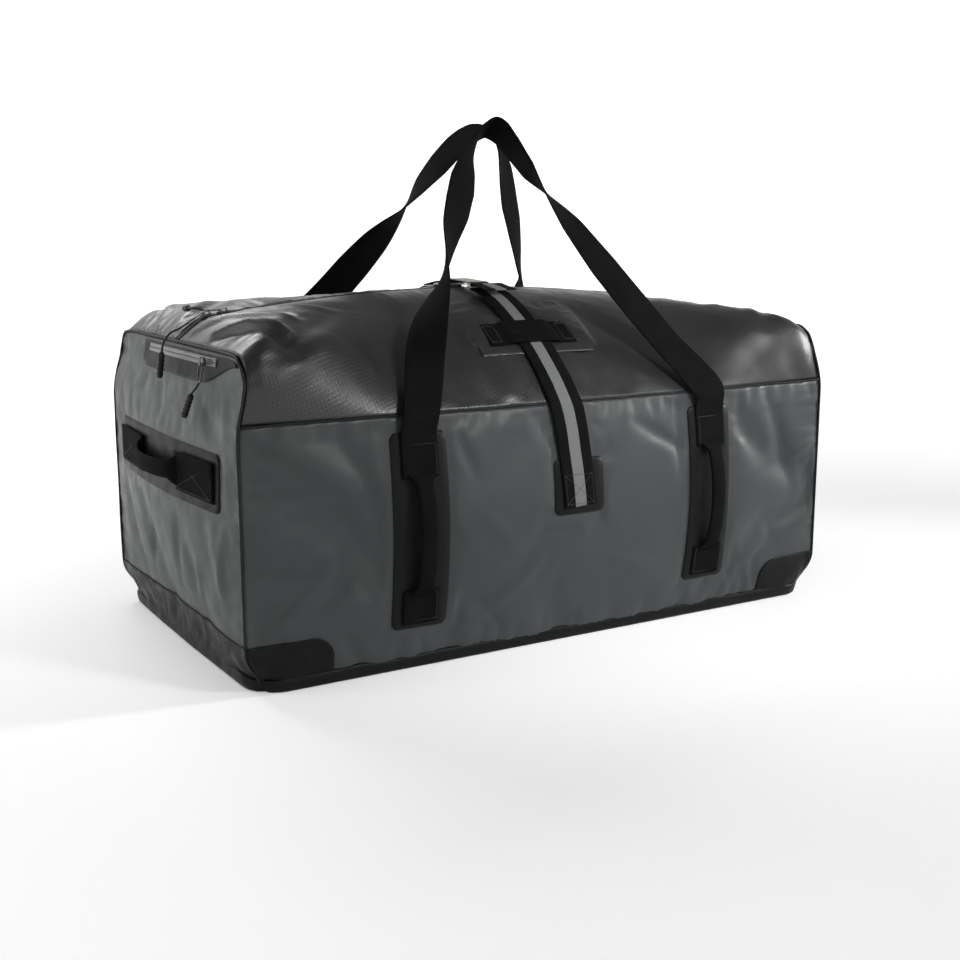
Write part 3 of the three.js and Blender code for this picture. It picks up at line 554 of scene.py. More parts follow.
def strap(name, path, faces, material, slot, width=WEBBING, thickness=WEBBING_T, cup=0.0, body="bag_body"):
    """Flat webbing with rounded selvedges along a path; width, thickness and cup may vary along it."""
    n = len(path)
    width, thickness, cup = (np.broadcast_to(np.asarray(q, float), n) for q in (width, thickness, cup))
    _, across, out = ribbon_frames(path, faces)
    turn = np.linspace(-np.pi / 2, np.pi / 2, 5)
    flat = np.linspace(-1, 1, 9)
    # section: the outer face, one selvedge, the inner face, the other selvedge
    s = np.r_[flat, np.ones(3), flat[::-1], -np.ones(3)]
    bulge = np.r_[np.zeros(9), np.cos(turn[1:-1]), np.zeros(9), -np.cos(turn[1:-1])]
    level = np.r_[np.ones(9), -np.sin(turn[1:-1]), -np.ones(9), np.sin(turn[1:-1])]
    half_w, half_t = width[:, None] / 2, thickness[:, None] / 2
    a = s * (half_w - half_t) + bulge * half_t
    b = level * half_t + cup[:, None] * (1 - s ** 2)
    rings = path[:, None] + a[..., None] * across[:, None] + b[..., None] * out[:, None]
    lengths = np.r_[0, np.cumsum(np.linalg.norm(np.diff(path, axis=0), axis=1))]
    uv = np.stack([np.broadcast_to(lengths[:, None], a.shape), a], -1)
    return swept(name, rings, uv, material, slot, body)


def swept(name, rings, uv, material, slot, body="bag_body"):
    """A closed tube through rings of points, capped at both ends."""
    n, m = rings.shape[:2]
    i = np.arange(n - 1)[:, None] * m
    j, k = np.arange(m)[None, :], (np.arange(m)[None, :] + 1) % m
    quads = np.stack([i + j, i + k, i + m + k, i + m + j], -1).reshape(-1, 4)
    centre = rings.mean(axis=1, keepdims=True)
    first = np.cross(rings[0, 1] - rings[0, 0], rings[1, 0] - rings[0, 0])
    inward = np.dot(first, rings[0, 0] - centre[0, 0]) < 0
    faces = (quads[:, ::-1] if inward else quads).tolist()
    caps = [list(range(m))[::-1], list(range((n - 1) * m, n * m))]
    faces += [cap[::-1] for cap in caps] if inward else caps
    return mesh_piece(name, rings.reshape(-1, 3), faces, uv.reshape(-1, 2), material, slot, body)


def tube(name, path, radius, material, slot, sides=12, body="bag_body", closed=False):
    """A round piping, cord or bar along a path, with its radius the same or one value a place."""
    path = np.asarray(path, float)
    n = len(path)
    along = np.gradient(path, axis=0)
    if closed:
        along[0] = along[-1] = path[1] - path[-2]
    along /= np.linalg.norm(along, axis=1, keepdims=True)
    out = [np.cross(along[0], [0.13, 0.31, 0.94])]
    for t in along[1:]:
        out.append(out[-1] - t * np.dot(out[-1], t))
    out = np.array(out)
    out /= np.linalg.norm(out, axis=1, keepdims=True)
    across = np.cross(along, out)
    turn = np.linspace(0, 2 * np.pi, sides, endpoint=False)
    r = np.broadcast_to(np.asarray(radius, float), n)[:, None, None]
    cosine, sine = (wave[None, :, None] for wave in (np.cos(turn), np.sin(turn)))
    rings = path[:, None] + r * (cosine * out[:, None] + sine * across[:, None])
    lengths = np.r_[0, np.cumsum(np.linalg.norm(np.diff(path, axis=0), axis=1))]
    girth = np.broadcast_to(turn[None, :] * np.mean(radius), (n, sides))
    uv = np.stack([np.broadcast_to(lengths[:, None], (n, sides)), girth], -1)
    return swept(name, rings, uv, material, slot, body)


# ---- cloth ----
def settle(grid, pinned, grow, push, frames, cap, bending=0.6):
    """
    Lets a panel that is cut a little too large settle as cloth inside its sewn edges. pinned is 1
    where it is sewn or backed, grow how much too large it is cut, cap how far a point may move.
    """
    rows, columns = grid.shape[:2]
    n = outward(grid)
    mesh = bpy.data.meshes.new("settling")
    flip = np.sum(n * normals_of(grid)) < 0
    mesh.from_pydata(grid.reshape(-1, 3).tolist(), [], grid_faces(rows, columns, 0, flip))
    piece = bpy.data.objects.new("settling", mesh)
    bpy.context.scene.collection.objects.link(piece)
    group = piece.vertex_groups.new(name="sewn")
    weights = pinned.reshape(-1)
    for level in np.unique(weights[weights > 0]):
        group.add(np.nonzero(weights == level)[0].tolist(), float(level), "REPLACE")
    cloth = piece.modifiers.new("cloth", "CLOTH")
    settings = cloth.settings
    settings.quality = 6
    settings.mass = 0.25
    settings.tension_stiffness = settings.compression_stiffness = 30
    settings.shear_stiffness = 12
    settings.bending_stiffness = bending
    settings.air_damping = 4
    settings.vertex_group_mass = "sewn"
    settings.shrink_min = -grow
    settings.use_pressure = True
    settings.uniform_pressure_force = push
    settings.effector_weights.gravity = 0
    cloth.collision_settings.use_collision = False
    cloth.point_cache.frame_end = frames + 1
    scene = bpy.context.scene
    for step in range(1, frames + 1):
        scene.frame_set(step)
    shaped = piece.evaluated_get(bpy.context.evaluated_depsgraph_get()).to_mesh()
    found = np.empty(rows * columns * 3, np.float32)
    shaped.vertices.foreach_get("co", found)
    moved = found.reshape(rows, columns, 3) - grid
    scene.frame_set(1)
    bpy.data.objects.remove(piece)
    far = np.linalg.norm(moved, axis=-1, keepdims=True)
    return grid + moved * (cap * np.tanh(far / cap) / np.maximum(far, 1e-9))


def rim_pin(shape):
    """1 on the outermost ring of a grid, 0 inside it."""
    pinned = np.zeros(shape)
    pinned[:1] = pinned[-1:] = 1
    pinned[:, :1] = pinned[:, -1:] = 1
    return pinned


def footprint(a, b, a_range, b_range, margin=4 * MM):
    """1 inside a rectangle of the surface and 0 outside it."""
    inside = (a > a_range[0] - margin) & (a < a_range[1] + margin)
    return (inside & (b > b_range[0] - margin) & (b < b_range[1] + margin)).astype(float)


def crease(a, b, start, end, width, height):
    """A long soft fold between two places of a surface, highest in its middle."""
    start, end = np.array(start), np.array(end)
    d = end - start
    t = np.clip(((a - start[0]) * d[0] + (b - start[1]) * d[1]) / d.dot(d), 0, 1)
    gap2 = (a - start[0] - t * d[0]) ** 2 + (b - start[1] - t * d[1]) ** 2
    return height * np.exp(-gap2 / (2 * width ** 2)) * np.sin(np.pi * np.clip(0.08 + 0.84 * t, 0, 1)) ** 0.7


def puckers(along, away, depth, reach, pitch, seed):
    """Small gathers that start at a seam and die out with distance from it."""
    rng = np.random.default_rng(seed)
    wave = 0 * along
    for k in range(5):
        turns = 2 * np.pi * along / (pitch * (0.6 + 0.28 * k))
        wave = wave + np.sin(turns + rng.uniform(0, 6.3)) / (1 + 0.35 * k)
    patchy = 0.55 + 0.45 * np.sin(2 * np.pi * along / (7.3 * pitch) + rng.uniform(0, 6.3))
    fade = np.exp(-away / reach) * (1 - np.exp(-away / (0.12 * reach)))
    return depth * wave * patchy * fade * 0.55


def away(a, b, a_range, b_range, fade=22 * MM):
    """0 on a rectangle of the surface, rising to 1 at the fade's distance from it."""
    da = np.maximum(0, np.maximum(a_range[0] - a, a - a_range[1]))
    db = np.maximum(0, np.maximum(b_range[0] - b, b - b_range[1]))
    return smooth(np.hypot(da, db), 3 * MM, fade)


def stitches(name, lines, material=THREAD, slot="webbing", body="bag_body", length=2.7 * MM, pitch=4 * MM):
    """Rows of thread. Each line is places on the cloth and the way the cloth faces there."""
    half = np.array([length / 2, 0.4 * MM, 0.3 * MM])
    corners = np.array([(x, y, z) for x in (-1, 1) for y in (-1, 1) for z in (-1, 1)])
    box = [(0, 1, 3, 2), (4, 6, 7, 5), (0, 4, 5, 1), (2, 3, 7, 6), (0, 2, 6, 4), (1, 5, 7, 3)]
    points, faces = [], []
    for path, outs in lines:
        lengths = np.r_[0, np.cumsum(np.linalg.norm(np.diff(path, axis=0), axis=1))]
        places = np.arange(pitch / 2, lengths[-1], pitch)
        at = np.stack([np.interp(places, lengths, path[:, i]) for i in range(3)], -1)
        out = np.stack([np.interp(places, lengths, outs[:, i]) for i in range(3)], -1)
        ahead = np.stack([np.interp(places + 1 * MM, lengths, path[:, i]) for i in range(3)], -1)
        back = np.stack([np.interp(places - 1 * MM, lengths, path[:, i]) for i in range(3)], -1)
        along, across, up = ribbon_axes(ahead - back, out)
        for place in range(len(places)):
            start = len(points)
            # the outer face of a stitch is a little smaller than its foot
            for corner in corners:
                q = corner * half * (0.75 if corner[2] > 0 else 1, 0.6 if corner[2] > 0 else 1, 1)
                points.append(at[place] + q[0] * along[place] + q[1] * across[place] + q[2] * up[place])
            faces += [[start + i for i in face] for face in box]
    points = np.array(points)
    return mesh_piece(name, points, faces, points[:, :2], material, slot, body)


def ribbon_axes(along, out):
    """Unit directions along, across and out from rough ones."""
    along = along / np.linalg.norm(along, axis=1, keepdims=True)
    out = out - along * np.sum(out * along, axis=1, keepdims=True)
    out = out / np.linalg.norm(out, axis=1, keepdims=True)
    return along, np.cross(along, out), out


def seam_line(place, start, end, off):
    """A straight sewn line between two places (a, b) of a surface."""
    a, b = np.linspace(start[0], end[0], 40), np.linspace(start[1], end[1], 40)
    path = place(a, b, off + 0 * a)
    return path, place(a, b, off + 1 * MM + 0 * a) - path


def box_seam(place, a_range, b_range, off, cross=False):
    """A sewn rectangle, with an X in it where it is a bearing seam."""
    (a0, a1), (b0, b1) = a_range, b_range
    corners = [(a0, b0), (a1, b0), (a1, b1), (a0, b1), (a0, b0)]
    lines = [seam_line(place, s, e, off) for s, e in zip(corners, corners[1:])]
    if cross:
        lines += [seam_line(place, (a0, b0), (a1, b1), off), seam_line(place, (a0, b1), (a1, b0), off)]
    return lines


# ---- camera, floor and light ----
scene = bpy.context.scene
lens = bpy.data.cameras.new("camera")
lens.lens, lens.sensor_width = 49.15, 36
camera = bpy.data.objects.new("camera", lens)
camera.location = (-0.9822, -1.6621, 0.5586)
camera.rotation_euler = (math.radians(90 - 11.196), 0, math.radians(-30.98))
scene.collection.objects.link(camera)
scene.camera = camera


def softbox(name, at, aim, size, power, spread=180):
    """A rectangular area light at a place, aimed at another, with its power in watts."""
    light = bpy.data.lights.new(name, "AREA")
    light.shape, light.size, light.size_y, light.energy = "RECTANGLE", *size, power
    light.spread = math.radians(spread)
    lamp = bpy.data.objects.new(name, light)
    lamp.location = at
    lamp.rotation_euler = (Vector(aim) - Vector(at)).to_track_quat("-Z", "Y").to_euler()
    scene.collection.objects.link(lamp)


FLOOR_FLAT, FLOOR_CURVE, WALL_TOP = 3.6, 0.9, 1.9


def studio_floor():
    """A round pale floor that curves up into a low wall, which glows most behind the bag."""
    curve = [(FLOOR_FLAT + FLOOR_CURVE * math.sin(a), FLOOR_CURVE - FLOOR_CURVE * math.cos(a))
             for a in np.radians(np.linspace(0, 90, 14))]
    profile = np.array([(0.05, 0.0), *curve, (FLOOR_FLAT + FLOOR_CURVE, WALL_TOP)])
    turn = np.linspace(0, 2 * np.pi, 97)
    grid = np.stack([profile[:, :1] * np.cos(turn), profile[:, :1] * np.sin(turn),
                     profile[:, 1:] - 0.3 * MM + 0 * turn], -1)
    faces = grid_faces(*grid.shape[:2]) + [list(range(96))]
    mesh = bpy.data.meshes.new("studio_floor")
    mesh.from_pydata(grid.reshape(-1, 3).tolist(), [], faces)
    mesh.shade_smooth()
    floor = bpy.data.objects.new("studio_floor", mesh)
    scene.collection.objects.link(floor)
    paper = Look("studio_paper", (0.88, 0.88, 0.88), 0.9, solid=True, Emission_Color=(1, 1, 1, 1))
    distance = paper.node("ShaderNodeVectorMath", {"operation": "LENGTH"}, Vector=paper.uv).outputs[1]
    behind = paper.span(paper.across, -2.0, 2.0, 0.8, 1.0)
    glow = paper.span(distance, 0.45, 2.2, 0.22, 0.66)
    paper.feed("Emission Strength", paper.math("MULTIPLY", behind, glow))
    mesh.materials.append(paper.mat)
    floor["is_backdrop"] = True


studio_floor()
scene.world = scene.world or bpy.data.worlds.new("studio")
scene.world.use_nodes = True
sky = scene.world.node_tree.nodes["Background"]
sky.inputs["Color"].default_value, sky.inputs["Strength"].default_value = (0.94, 0.95, 0.96, 1), 0.22
softbox("left_softbox", (-2.3, 0.3, 1.5), (-0.45, 0, 0.25), (0.7, 1.0), 9.5)
softbox("back_softbox", (-0.6, 1.9, 1.9), (-0.2, 0, 0.45), (1.6, 0.6), 30)
softbox("front_softbox", (0.55, -1.6, 1.35), (0.14, -0.26, 0.36), (0.4, 0.4), 1.9, 44)
softbox("raking_softbox", (1.9, -0.72, 0.85), (-0.05, -0.27, 0.22), (0.25, 0.4), 4, 70)
scene.view_settings.view_transform = "Standard"


# ---- zip pulls: each a cord from its metal loop to a ribbed grip ----
# The outer and inner routes are not the CAD's: they were moved to clear the top and each other.
GRIP_L, GRIP_R, CORD_R = 0.034, 4.4 * MM, 1.5 * MM


def pull(label, route, grip_end, body):
    """The cord along its route, in metres, and the grip on its end."""
    route = np.array(route)
    aim = np.array(grip_end) - route[-1]
    aim /= np.linalg.norm(aim)
    path = centripetal([*route, route[-1] + aim * GRIP_L / 2], 40)
    cord = tube(f"{label}_pull_cord", path, CORD_R, COIL, "pull_rubber", 10, body)
    lengths = np.linspace(0, 1, 61)
    ribbed = 0.5 + 0.5 * np.cos(2 * np.pi * 6 * lengths)
    neck = smooth(lengths, 0, 0.07) * (1 - smooth(lengths, 0.95, 1))
    radius = GRIP_R * (0.45 + neck * (0.36 + 0.19 * ribbed ** 0.6))
    grip = tube(f"{label}_pull_grip", route[-1] + aim * GRIP_L * lengths[:, None], radius, RUBBER,
                "pull_rubber", 16, body)
    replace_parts(grip, f"{label}_pull_tab")


OUTER_LOOP, INNER_LOOP, POCKET_LOOP = (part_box(f"{label}_pull_loop") for label in ("outer", "inner", "pocket"))


def loop_end(box):
    """The far end of a loop that hangs along -x."""
    return (box[0].x - GAP, 0, box[0].z + 1.3 * MM)


pull("outer", [loop_end(OUTER_LOOP), (-0.440, -0.004, 0.422), (-0.454, -0.009, 0.417),
               (-0.464, -0.012, 0.406), (-0.468, -0.014, 0.394)],
     (-0.473, -0.017, 0.364), "outer_pull")
pull("inner", [loop_end(INNER_LOOP), (-0.4125, 0.001, 0.4462), (-0.419, 0.007, 0.447),
               (-0.4195, 0.018, 0.446)],
     (-0.413, 0.052, 0.4435), "inner_pull")
TRACK_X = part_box("pocket_slider")[1].x
POCKET_SLIDER_Y = -0.134
pull("pocket", [(TRACK_X - 7 * MM, POCKET_SLIDER_Y, POCKET_LOOP[0].z - GAP),
                (TRACK_X - 10 * MM, POCKET_SLIDER_Y + 4 * MM, POCKET_ZIP_Z - 33 * MM),
                (TRACK_X - 14 * MM, POCKET_SLIDER_Y + 9 * MM, POCKET_ZIP_Z - 40 * MM)],
     (TRACK_X - 20 * MM, POCKET_SLIDER_Y + 24 * MM, POCKET_ZIP_Z - 70 * MM), "pocket_pull")


# ---- side and end panels ----
def side_patches():
    """Rectangles (x, z) that are welded to each side panel."""
    half = PATCH_W / 2
    found = [((e * STRAP_X - half, e * STRAP_X + half), PATCH_Z) for e in (-1, 1)]
    return found + [((-CENTRE_PATCH_W / 2, CENTRE_PATCH_W / 2), CENTRE_PATCH_Z)]


def side_relief(side, x, z):
    """Authored folds of a side panel before it settles: dents at its left, gathers at its ends."""
    low = crease(x, z, (-0.425, 0.245), (-0.290, 0.175), 0.022, -8 * MM)
    for start, stop, width, height in (
            ((-0.410, 0.100), (-0.285, 0.165), 0.024, -8 * MM),
            ((-0.400, 0.290), (-0.300, 0.245), 0.014, 3 * MM),
            ((-0.330, 0.300), (-0.285, 0.205), 0.013, -5 * MM),
            ((-0.380, 0.060), (-0.300, 0.105), 0.012, 4 * MM),
            ((0.295, 0.285), (0.345, 0.215), 0.014, -5 * MM),
            ((0.345, 0.225), (0.430, 0.180), 0.020, -7 * MM),
            ((0.300, 0.090), (0.420, 0.150), 0.020, -6 * MM),
            ((-0.170, 0.085), (0.120, 0.050), 0.022, -5 * MM),
            ((-0.165, 0.215), (-0.070, 0.290), 0.018, -4 * MM),
            ((-0.120, 0.130), (0.010, 0.150), 0.026, -3 * MM),
            ((0.060, 0.160), (0.170, 0.260), 0.026, -4 * MM)):
        low = low + crease(x, z, start, stop, width, height)
    sharp = (((-0.430, 0.300), (-0.375, 0.262), 6, -3.5), ((-0.432, 0.205), (-0.365, 0.228), 6, 3.0),
             ((-0.432, 0.150), (-0.350, 0.128), 7, -3.5), ((-0.410, 0.075), (-0.345, 0.140), 8, 3.5),
             ((-0.340, 0.225), (-0.300, 0.150), 8, -4.0), ((0.352, 0.300), (0.395, 0.170), 9, -5.5),
             ((0.395, 0.215), (0.436, 0.240), 6, 3.5), ((0.385, 0.120), (0.436, 0.140), 6, -3.5),
             ((0.300, 0.060), (0.360, 0.110), 8, 3.5), ((-0.060, 0.120), (-0.130, 0.060), 7, 2.5),
             ((-0.140, 0.190), (-0.100, 0.150), 6, 2.0), ((0.100, 0.290), (0.180, 0.250), 7, -3.0),
             ((0.060, 0.110), (0.150, 0.080), 7, 2.5), ((-0.180, 0.300), (-0.150, 0.235), 7, -3.0))
    for start, end, width, height in sharp:
        low = low + crease(x, z, start, end, width * MM, height * MM)
    gather = puckers(z, HALF_L - np.abs(x), 1.9 * MM, 0.032, 0.026, 3 + side)
    sewn = puckers(x, SEAM_Z - z, 0.9 * MM, 0.022, 0.045, 11 + side)
    return low + gather + sewn


def end_relief(side, y, z):
    fold = crease(y, z, (-0.195, 0.110), (-0.175, 0.205), 0.010, 3.0 * MM)
    for start, stop, width, height in (
            ((-0.120, 0.075), (-0.060, 0.200), 0.016, -4 * MM),
            ((0.020, 0.070), (0.090, 0.200), 0.018, -4.5 * MM),
            ((0.130, 0.080), (0.180, 0.200), 0.014, -3.5 * MM),
            ((-0.215, 0.300), (-0.130, 0.330), 0.012, -3 * MM),
            ((-0.220, 0.210), (-0.205, 0.345), 0.009, 2.2 * MM)):
        fold = fold + crease(y, z, start, stop, width, height)
    for start, end, height in (((-0.120, 0.140), (-0.105, 0.085), 3.0),
                               ((-0.060, 0.180), (-0.045, 0.110), -3.0),
                               ((-0.205, 0.200), (-0.190, 0.120), 2.5),
                               ((0.050, 0.160), (0.080, 0.090), -3.0)):
        fold = fold + crease(y, z, start, end, 6.5 * MM, height * MM)
    gather = puckers(z, HALF_D - np.abs(y), 0.9 * MM, 0.028, 0.034, 23 + side)
    return fold + gather


def rim_fade(a, b, low_a, high_a, low_b, high_b, width=14 * MM):
    """0 at the rim of a panel and 1 inside it."""
    near = np.minimum(np.minimum(a - low_a, high_a - a), np.minimum(b - low_b, high_b - b))
    return smooth(near, 0, width)


def side_panel(name, side):
    reach, top = SIDE_REACH, SIDE_TOP
    x, z = np.meshgrid(np.linspace(-reach, reach, 165), np.linspace(PANEL_LOW, top, 57), indexing="ij")
    grid = plain_grid = on_side(side, x, z, 0)
    free = rim_fade(x, z, -reach, reach, PANEL_LOW, top)
    pinned = np.maximum(rim_pin(x.shape), footprint(x, z, (-0.036, 0.024), (CENTRE_PATCH_Z[1], top)))
    for a_range, b_range in side_patches():
        free = free * away(x, z, a_range, b_range)
        pinned = np.maximum(pinned, footprint(x, z, a_range, b_range))
    relief = side_relief(side, x, z)
    trimmed = 1 - 0.9 * smooth(SCUFF_Z + 12 * MM - z, 0, 12 * MM) * (relief > 0)
    grid = grid + (relief * free * trimmed)[..., None] * np.array([0, side, 0])
    grid = settle(grid, pinned, grow=0.016, push=0.22, frames=26, cap=4 * MM, bending=0.35)
    SETTLED["side", side] = grid - plain_grid
    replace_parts(panel(f"{name}_panel_cloth", grid, SKIN, TARPAULIN, "tarpaulin"), f"{name}_panel")


def end_panel(name, side):
    w = np.linspace(-1, 1, 95)
    across = HALF_D * np.sign(w) * (1 - (1 - np.abs(w)) ** END_CROWD)
    y, v = np.meshgrid(across, np.linspace(0, 1, 77), indexing="ij")
    z = PANEL_LOW + (end_top(y) - PANEL_LOW) * v
    grid = plain_grid = on_end(side, y, z, 0)
    across, up = (-END_PATCH_Y, END_PATCH_Y), END_PATCH_Z
    free = rim_fade(y, z, -HALF_D, HALF_D, PANEL_LOW, END_Z, 12 * MM) * away(y, z, across, up, 16 * MM)
    pinned = np.maximum(rim_pin(y.shape), footprint(y, z, across, up))
    if side < 0:
        free = free * away(y, z, POCKET_Y, (END_Z - 0.040, END_Z), 14 * MM)
        pinned = np.maximum(pinned, footprint(y, z, POCKET_Y, (END_Z - 0.040, END_Z)))
    relief = end_relief(side, y, z)
    trimmed = 1 - 0.9 * smooth(SCUFF_Z + 12 * MM - z, 0, 12 * MM) * (relief > 0)
    grid = grid + (relief * free * trimmed)[..., None] * np.array([side, 0, 0])
    grid = settle(grid, pinned, grow=0.004, push=0.25, frames=26, cap=3 * MM)
    SETTLED["end", side] = grid - plain_grid
    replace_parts(panel(f"{name}_end_cloth", grid, SKIN, TARPAULIN, "tarpaulin"), f"{name}_end_panel")


for name, side in SIDES:
    side_panel(name, side)
for name, side in ENDS:
    end_panel(name, side)


# ---- ripstop top: one sheet a side, drawn as two pieces that meet under the strap ----
def top_grid(side, xs, rows):
    """Points of one half of the top, evenly spaced from its side seam to its zip tape."""
    q = 1 - np.linspace((1 - 0.004) ** 0.3, 0, 700) ** (1 / 0.3)
    made = []
    for x in xs:
        y, z = top_point(np.full(q.shape, x), q, 0.0)
        z = np.maximum(z, SEAM_Z + 0.3 * MM)
        keep = y > ZIP_TAPE_W + GAP
        y, z = np.r_[y[keep], ZIP_TAPE_W + GAP], np.r_[z[keep], ridge_z(x)]
        s = np.r_[0, np.cumsum(np.hypot(np.diff(y), np.diff(z)))]
        t = np.linspace(0, s[-1], rows)
        made.append(np.stack([np.full(rows, x), side * np.interp(t, s, y), np.interp(t, s, z)], -1))
    return np.array(made)


def top_relief(side, x, s):
    """Folds of a half of the top at x and at share s of the way from its side seam to the zip."""
    far = 0.30 * s
    fold = puckers(x, far, 2.6 * MM, 0.050, 0.085, 5 + side)
    fold = fold + puckers(x, 0.30 - far, 1.0 * MM, 0.030, 0.028, 41 + side)
    for end in (-1, 1):
        run = end * x
        depth = (1.0 if side < 0 else 0.3) * (1.0 if end < 0 else 0.25) * MM
        for start, stop, width, height in (
                ((0.436, 0.215), (0.372, 0.120), 0.0065, 12 * depth),
                ((0.424, 0.182), (0.372, 0.085), 0.009, -11 * depth),
                ((0.428, 0.280), (0.345, 0.170), 0.0065, 9 * depth),
                ((0.408, 0.280), (0.328, 0.185), 0.008, -9 * depth),
                ((0.400, 0.075), (0.285, 0.185), 0.016, -9 * depth),
                ((0.415, 0.040), (0.320, 0.110), 0.011, 4 * depth),
                ((0.360, 0.285), (0.270, 0.215), 0.010, 5 * depth),
                ((0.300, 0.270), (0.210, 0.200), 0.014, -5 * depth)):
            fold = fold + crease(run, far, start, stop, width, height)
        fold = fold + puckers(far, HALF_L - run, 1.4 * MM, 0.035, 0.030, 61 + side + 5 * end) * (run > 0)
    fold = fold + crease(x, far, (-0.180, 0.050), (-0.090, 0.230), 0.030, -4 * MM)
    fold = fold + crease(x, far, (0.060, 0.050), (0.150, 0.200), 0.030, -4.5 * MM)
    return fold


def near_keeper(side, x, s, fade):
    """1 where the keeper's patch is sewn to the front half of the top, 0 past the fade."""
    if side > 0:
        return 0 * x
    return 1 - away(x, 0.30 * s, (-0.106, 0.078), (0.105, 0.205), fade)


def ripstop_half(name, side):
    reach = HALF_L - 2.6 * MM
    xs = np.linspace(-reach, reach, 241)
    rows = 67
    grid = top_grid(side, xs, rows)
    s = np.broadcast_to(np.linspace(0, 1, rows)[None, :], grid.shape[:2])
    x = grid[..., 0]
    free = smooth(np.minimum(s, 1 - s), 0, 0.05) * smooth(reach - np.abs(x), 0, 14 * MM)
    strap_lane = np.abs(x - BUCKLE_X) - 30 * MM
    free = free * smooth(strap_lane, 0, 30 * MM) * (1 - near_keeper(side, x, s, 16 * MM))
    pinned = np.maximum(rim_pin(x.shape), np.maximum(strap_lane < 0, near_keeper(side, x, s, 1 * MM) > 0.5))
    grid = grid + (top_relief(side, x, s) * free)[..., None] * outward(grid)
    grid = settle(grid, pinned, grow=0.014, push=0.2, frames=26, cap=5 * MM, bending=0.3)
    uv = cloth_uv(grid)
    middle = len(xs) // 2
    for label, columns, end in (("left", slice(0, middle + 1), -1), ("right", slice(middle, None), 1)):
        piece = panel(f"{name}_top_{label}", grid[columns], SKIN, RIPSTOP, "ripstop", None, uv[columns])
        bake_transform(piece)
        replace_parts(piece, f"{name}_top_middle", f"{name}_top_{label}_end")


BINDING_X = 0.395                   # the seam bindings end this far from the middle


def seam_binding(name, side):
    """A binding inside the side seam, which stands in the seam's gap when the top is turned back."""
    x, rise = np.meshgrid(np.linspace(-BINDING_X, BINDING_X, 60), np.linspace(-10, 8, 7) * MM, indexing="ij")
    inset = 3 * MM + 5.5 * MM * smooth(rise, 0, 8 * MM)
    y = side * (side_y(x, SEAM_Z) - inset)
    panel(f"{name}_seam_binding", np.stack([x, y, SEAM_Z + rise], -1), 0.9 * MM, LINING, "lining")


for name, side in SIDES:
    ripstop_half(name, side)
    seam_binding(name, side)


# ---- main zip: tapes and teeth along the arc of the ridge ----
TOOTH_PITCH = 3.0 * MM
zip_reach = HALF_L - 2.6 * MM


def teeth(name, side, x_range):
    """A row of moulded teeth along the ridge, the two halves' teeth one after the other."""
    phase = 0.0 if side < 0 else TOOTH_PITCH / 2
    xs = np.arange(x_range[0] + phase, x_range[1], TOOTH_PITCH)
    size = np.array([1.9 * MM, 4.2 * MM, 1.0 * MM]) / 2
    corners = np.array([(a, b, c) for a in (-1, 1) for b in (-1, 1) for c in (-1, 1)])
    box = np.array([(0, 1, 3, 2), (4, 6, 7, 5), (0, 4, 5, 1), (2, 3, 7, 6), (0, 2, 6, 4), (1, 5, 7, 3)])
    middle = np.stack([xs, np.full(xs.shape, side * 1.5 * MM), ridge_z(xs) + 0.1 * MM], -1)
    points = (middle[:, None] + (corners * size)[None]).reshape(-1, 3)
    faces = (box[None] + 8 * np.arange(len(xs))[:, None, None]).reshape(-1, 4).tolist()
    return mesh_piece(name, points, faces, points[:, :2], COIL, "zip_tape", None, round_off=False)


for name, side in SIDES:
    for label, end in ENDS:
        lengths = np.linspace(0, end * zip_reach, 60)
        across = np.array([1.2 * MM, 3 * MM, 6 * MM, ZIP_TAPE_W + 2.5 * MM])
        x, y = np.meshgrid(lengths, side * across, indexing="ij")
        under = np.array([0, 0, 0, -0.9 * MM])[None, :]
        tape_grid = np.stack([x, y, ridge_z(x) + under], -1)
        strip = panel(f"{name}_tape_{label}", tape_grid, 0.9 * MM, TAPE, "zip_tape", None)
        row = teeth(f"{name}_teeth_{label}", side, sorted((0.0, end * zip_reach)))
        for piece in (strip, row):
            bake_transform(piece)
        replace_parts(strip, f"{name}_zip_half", f"{label}_zip_end")


# ---- seams: thin piping on the side seams and round the ends ----
def seam_path(side):
    """The line of a side seam's piping, with the small wave of sewn cloth."""
    x = np.linspace(-HALF_L + 1 * MM, HALF_L - 1 * MM, 160)
    wave = 0.35 * MM * np.sin(x * 61) + 0.25 * MM * np.sin(x * 143 + 1)
    return np.stack([x, side * (side_y(x, SEAM_Z) + 0.7 * MM), SEAM_Z + wave], -1)


for name, side in SIDES:
    tube(f"{name}_seam_piping", seam_path(side), 1.2 * MM, PIPING, "piping", 8)


def end_outline(off):
    """The end panel's outline from the base up, round the top and down again."""
    turn = np.pi / 2 * np.linspace(0, 1, 24) ** 0.7
    y, z = HALF_D * np.cos(turn) ** 0.1, SEAM_Z + (END_Z - SEAM_Z) * np.sin(turn)
    y[-1] = 0
    dy, dz = np.gradient(y), np.gradient(z)
    span = np.hypot(dy, dz)
    y, z = y + off * dz / span, z - off * dy / span
    y[-1], z[-1] = 0, END_Z + off
    legs = np.linspace(TRIM_LOW - 4 * MM, SEAM_Z - 6 * MM, 14)
    rising = np.stack([np.r_[np.full(14, HALF_D + off), y], np.r_[legs, z]], -1)
    falling = rising[-2::-1] * (-1, 1)
    return np.vstack([rising, falling])


PIPING_R = 1.6 * MM
for name, side in ENDS:
    corner = 0.7 * MM
    outline = end_outline(corner)
    path = centripetal(np.c_[np.full(len(outline), side * (HALF_L + corner)), outline], 260)
    waves = np.sin(np.arange(260) * 0.31) + np.sin(np.arange(260) * 0.13 + 2)
    path = path + waves[:, None] * 0.35 * MM
    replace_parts(tube(f"{name}_piping_cord", path, PIPING_R, PIPING, "piping", 12), f"{name}_end_piping")


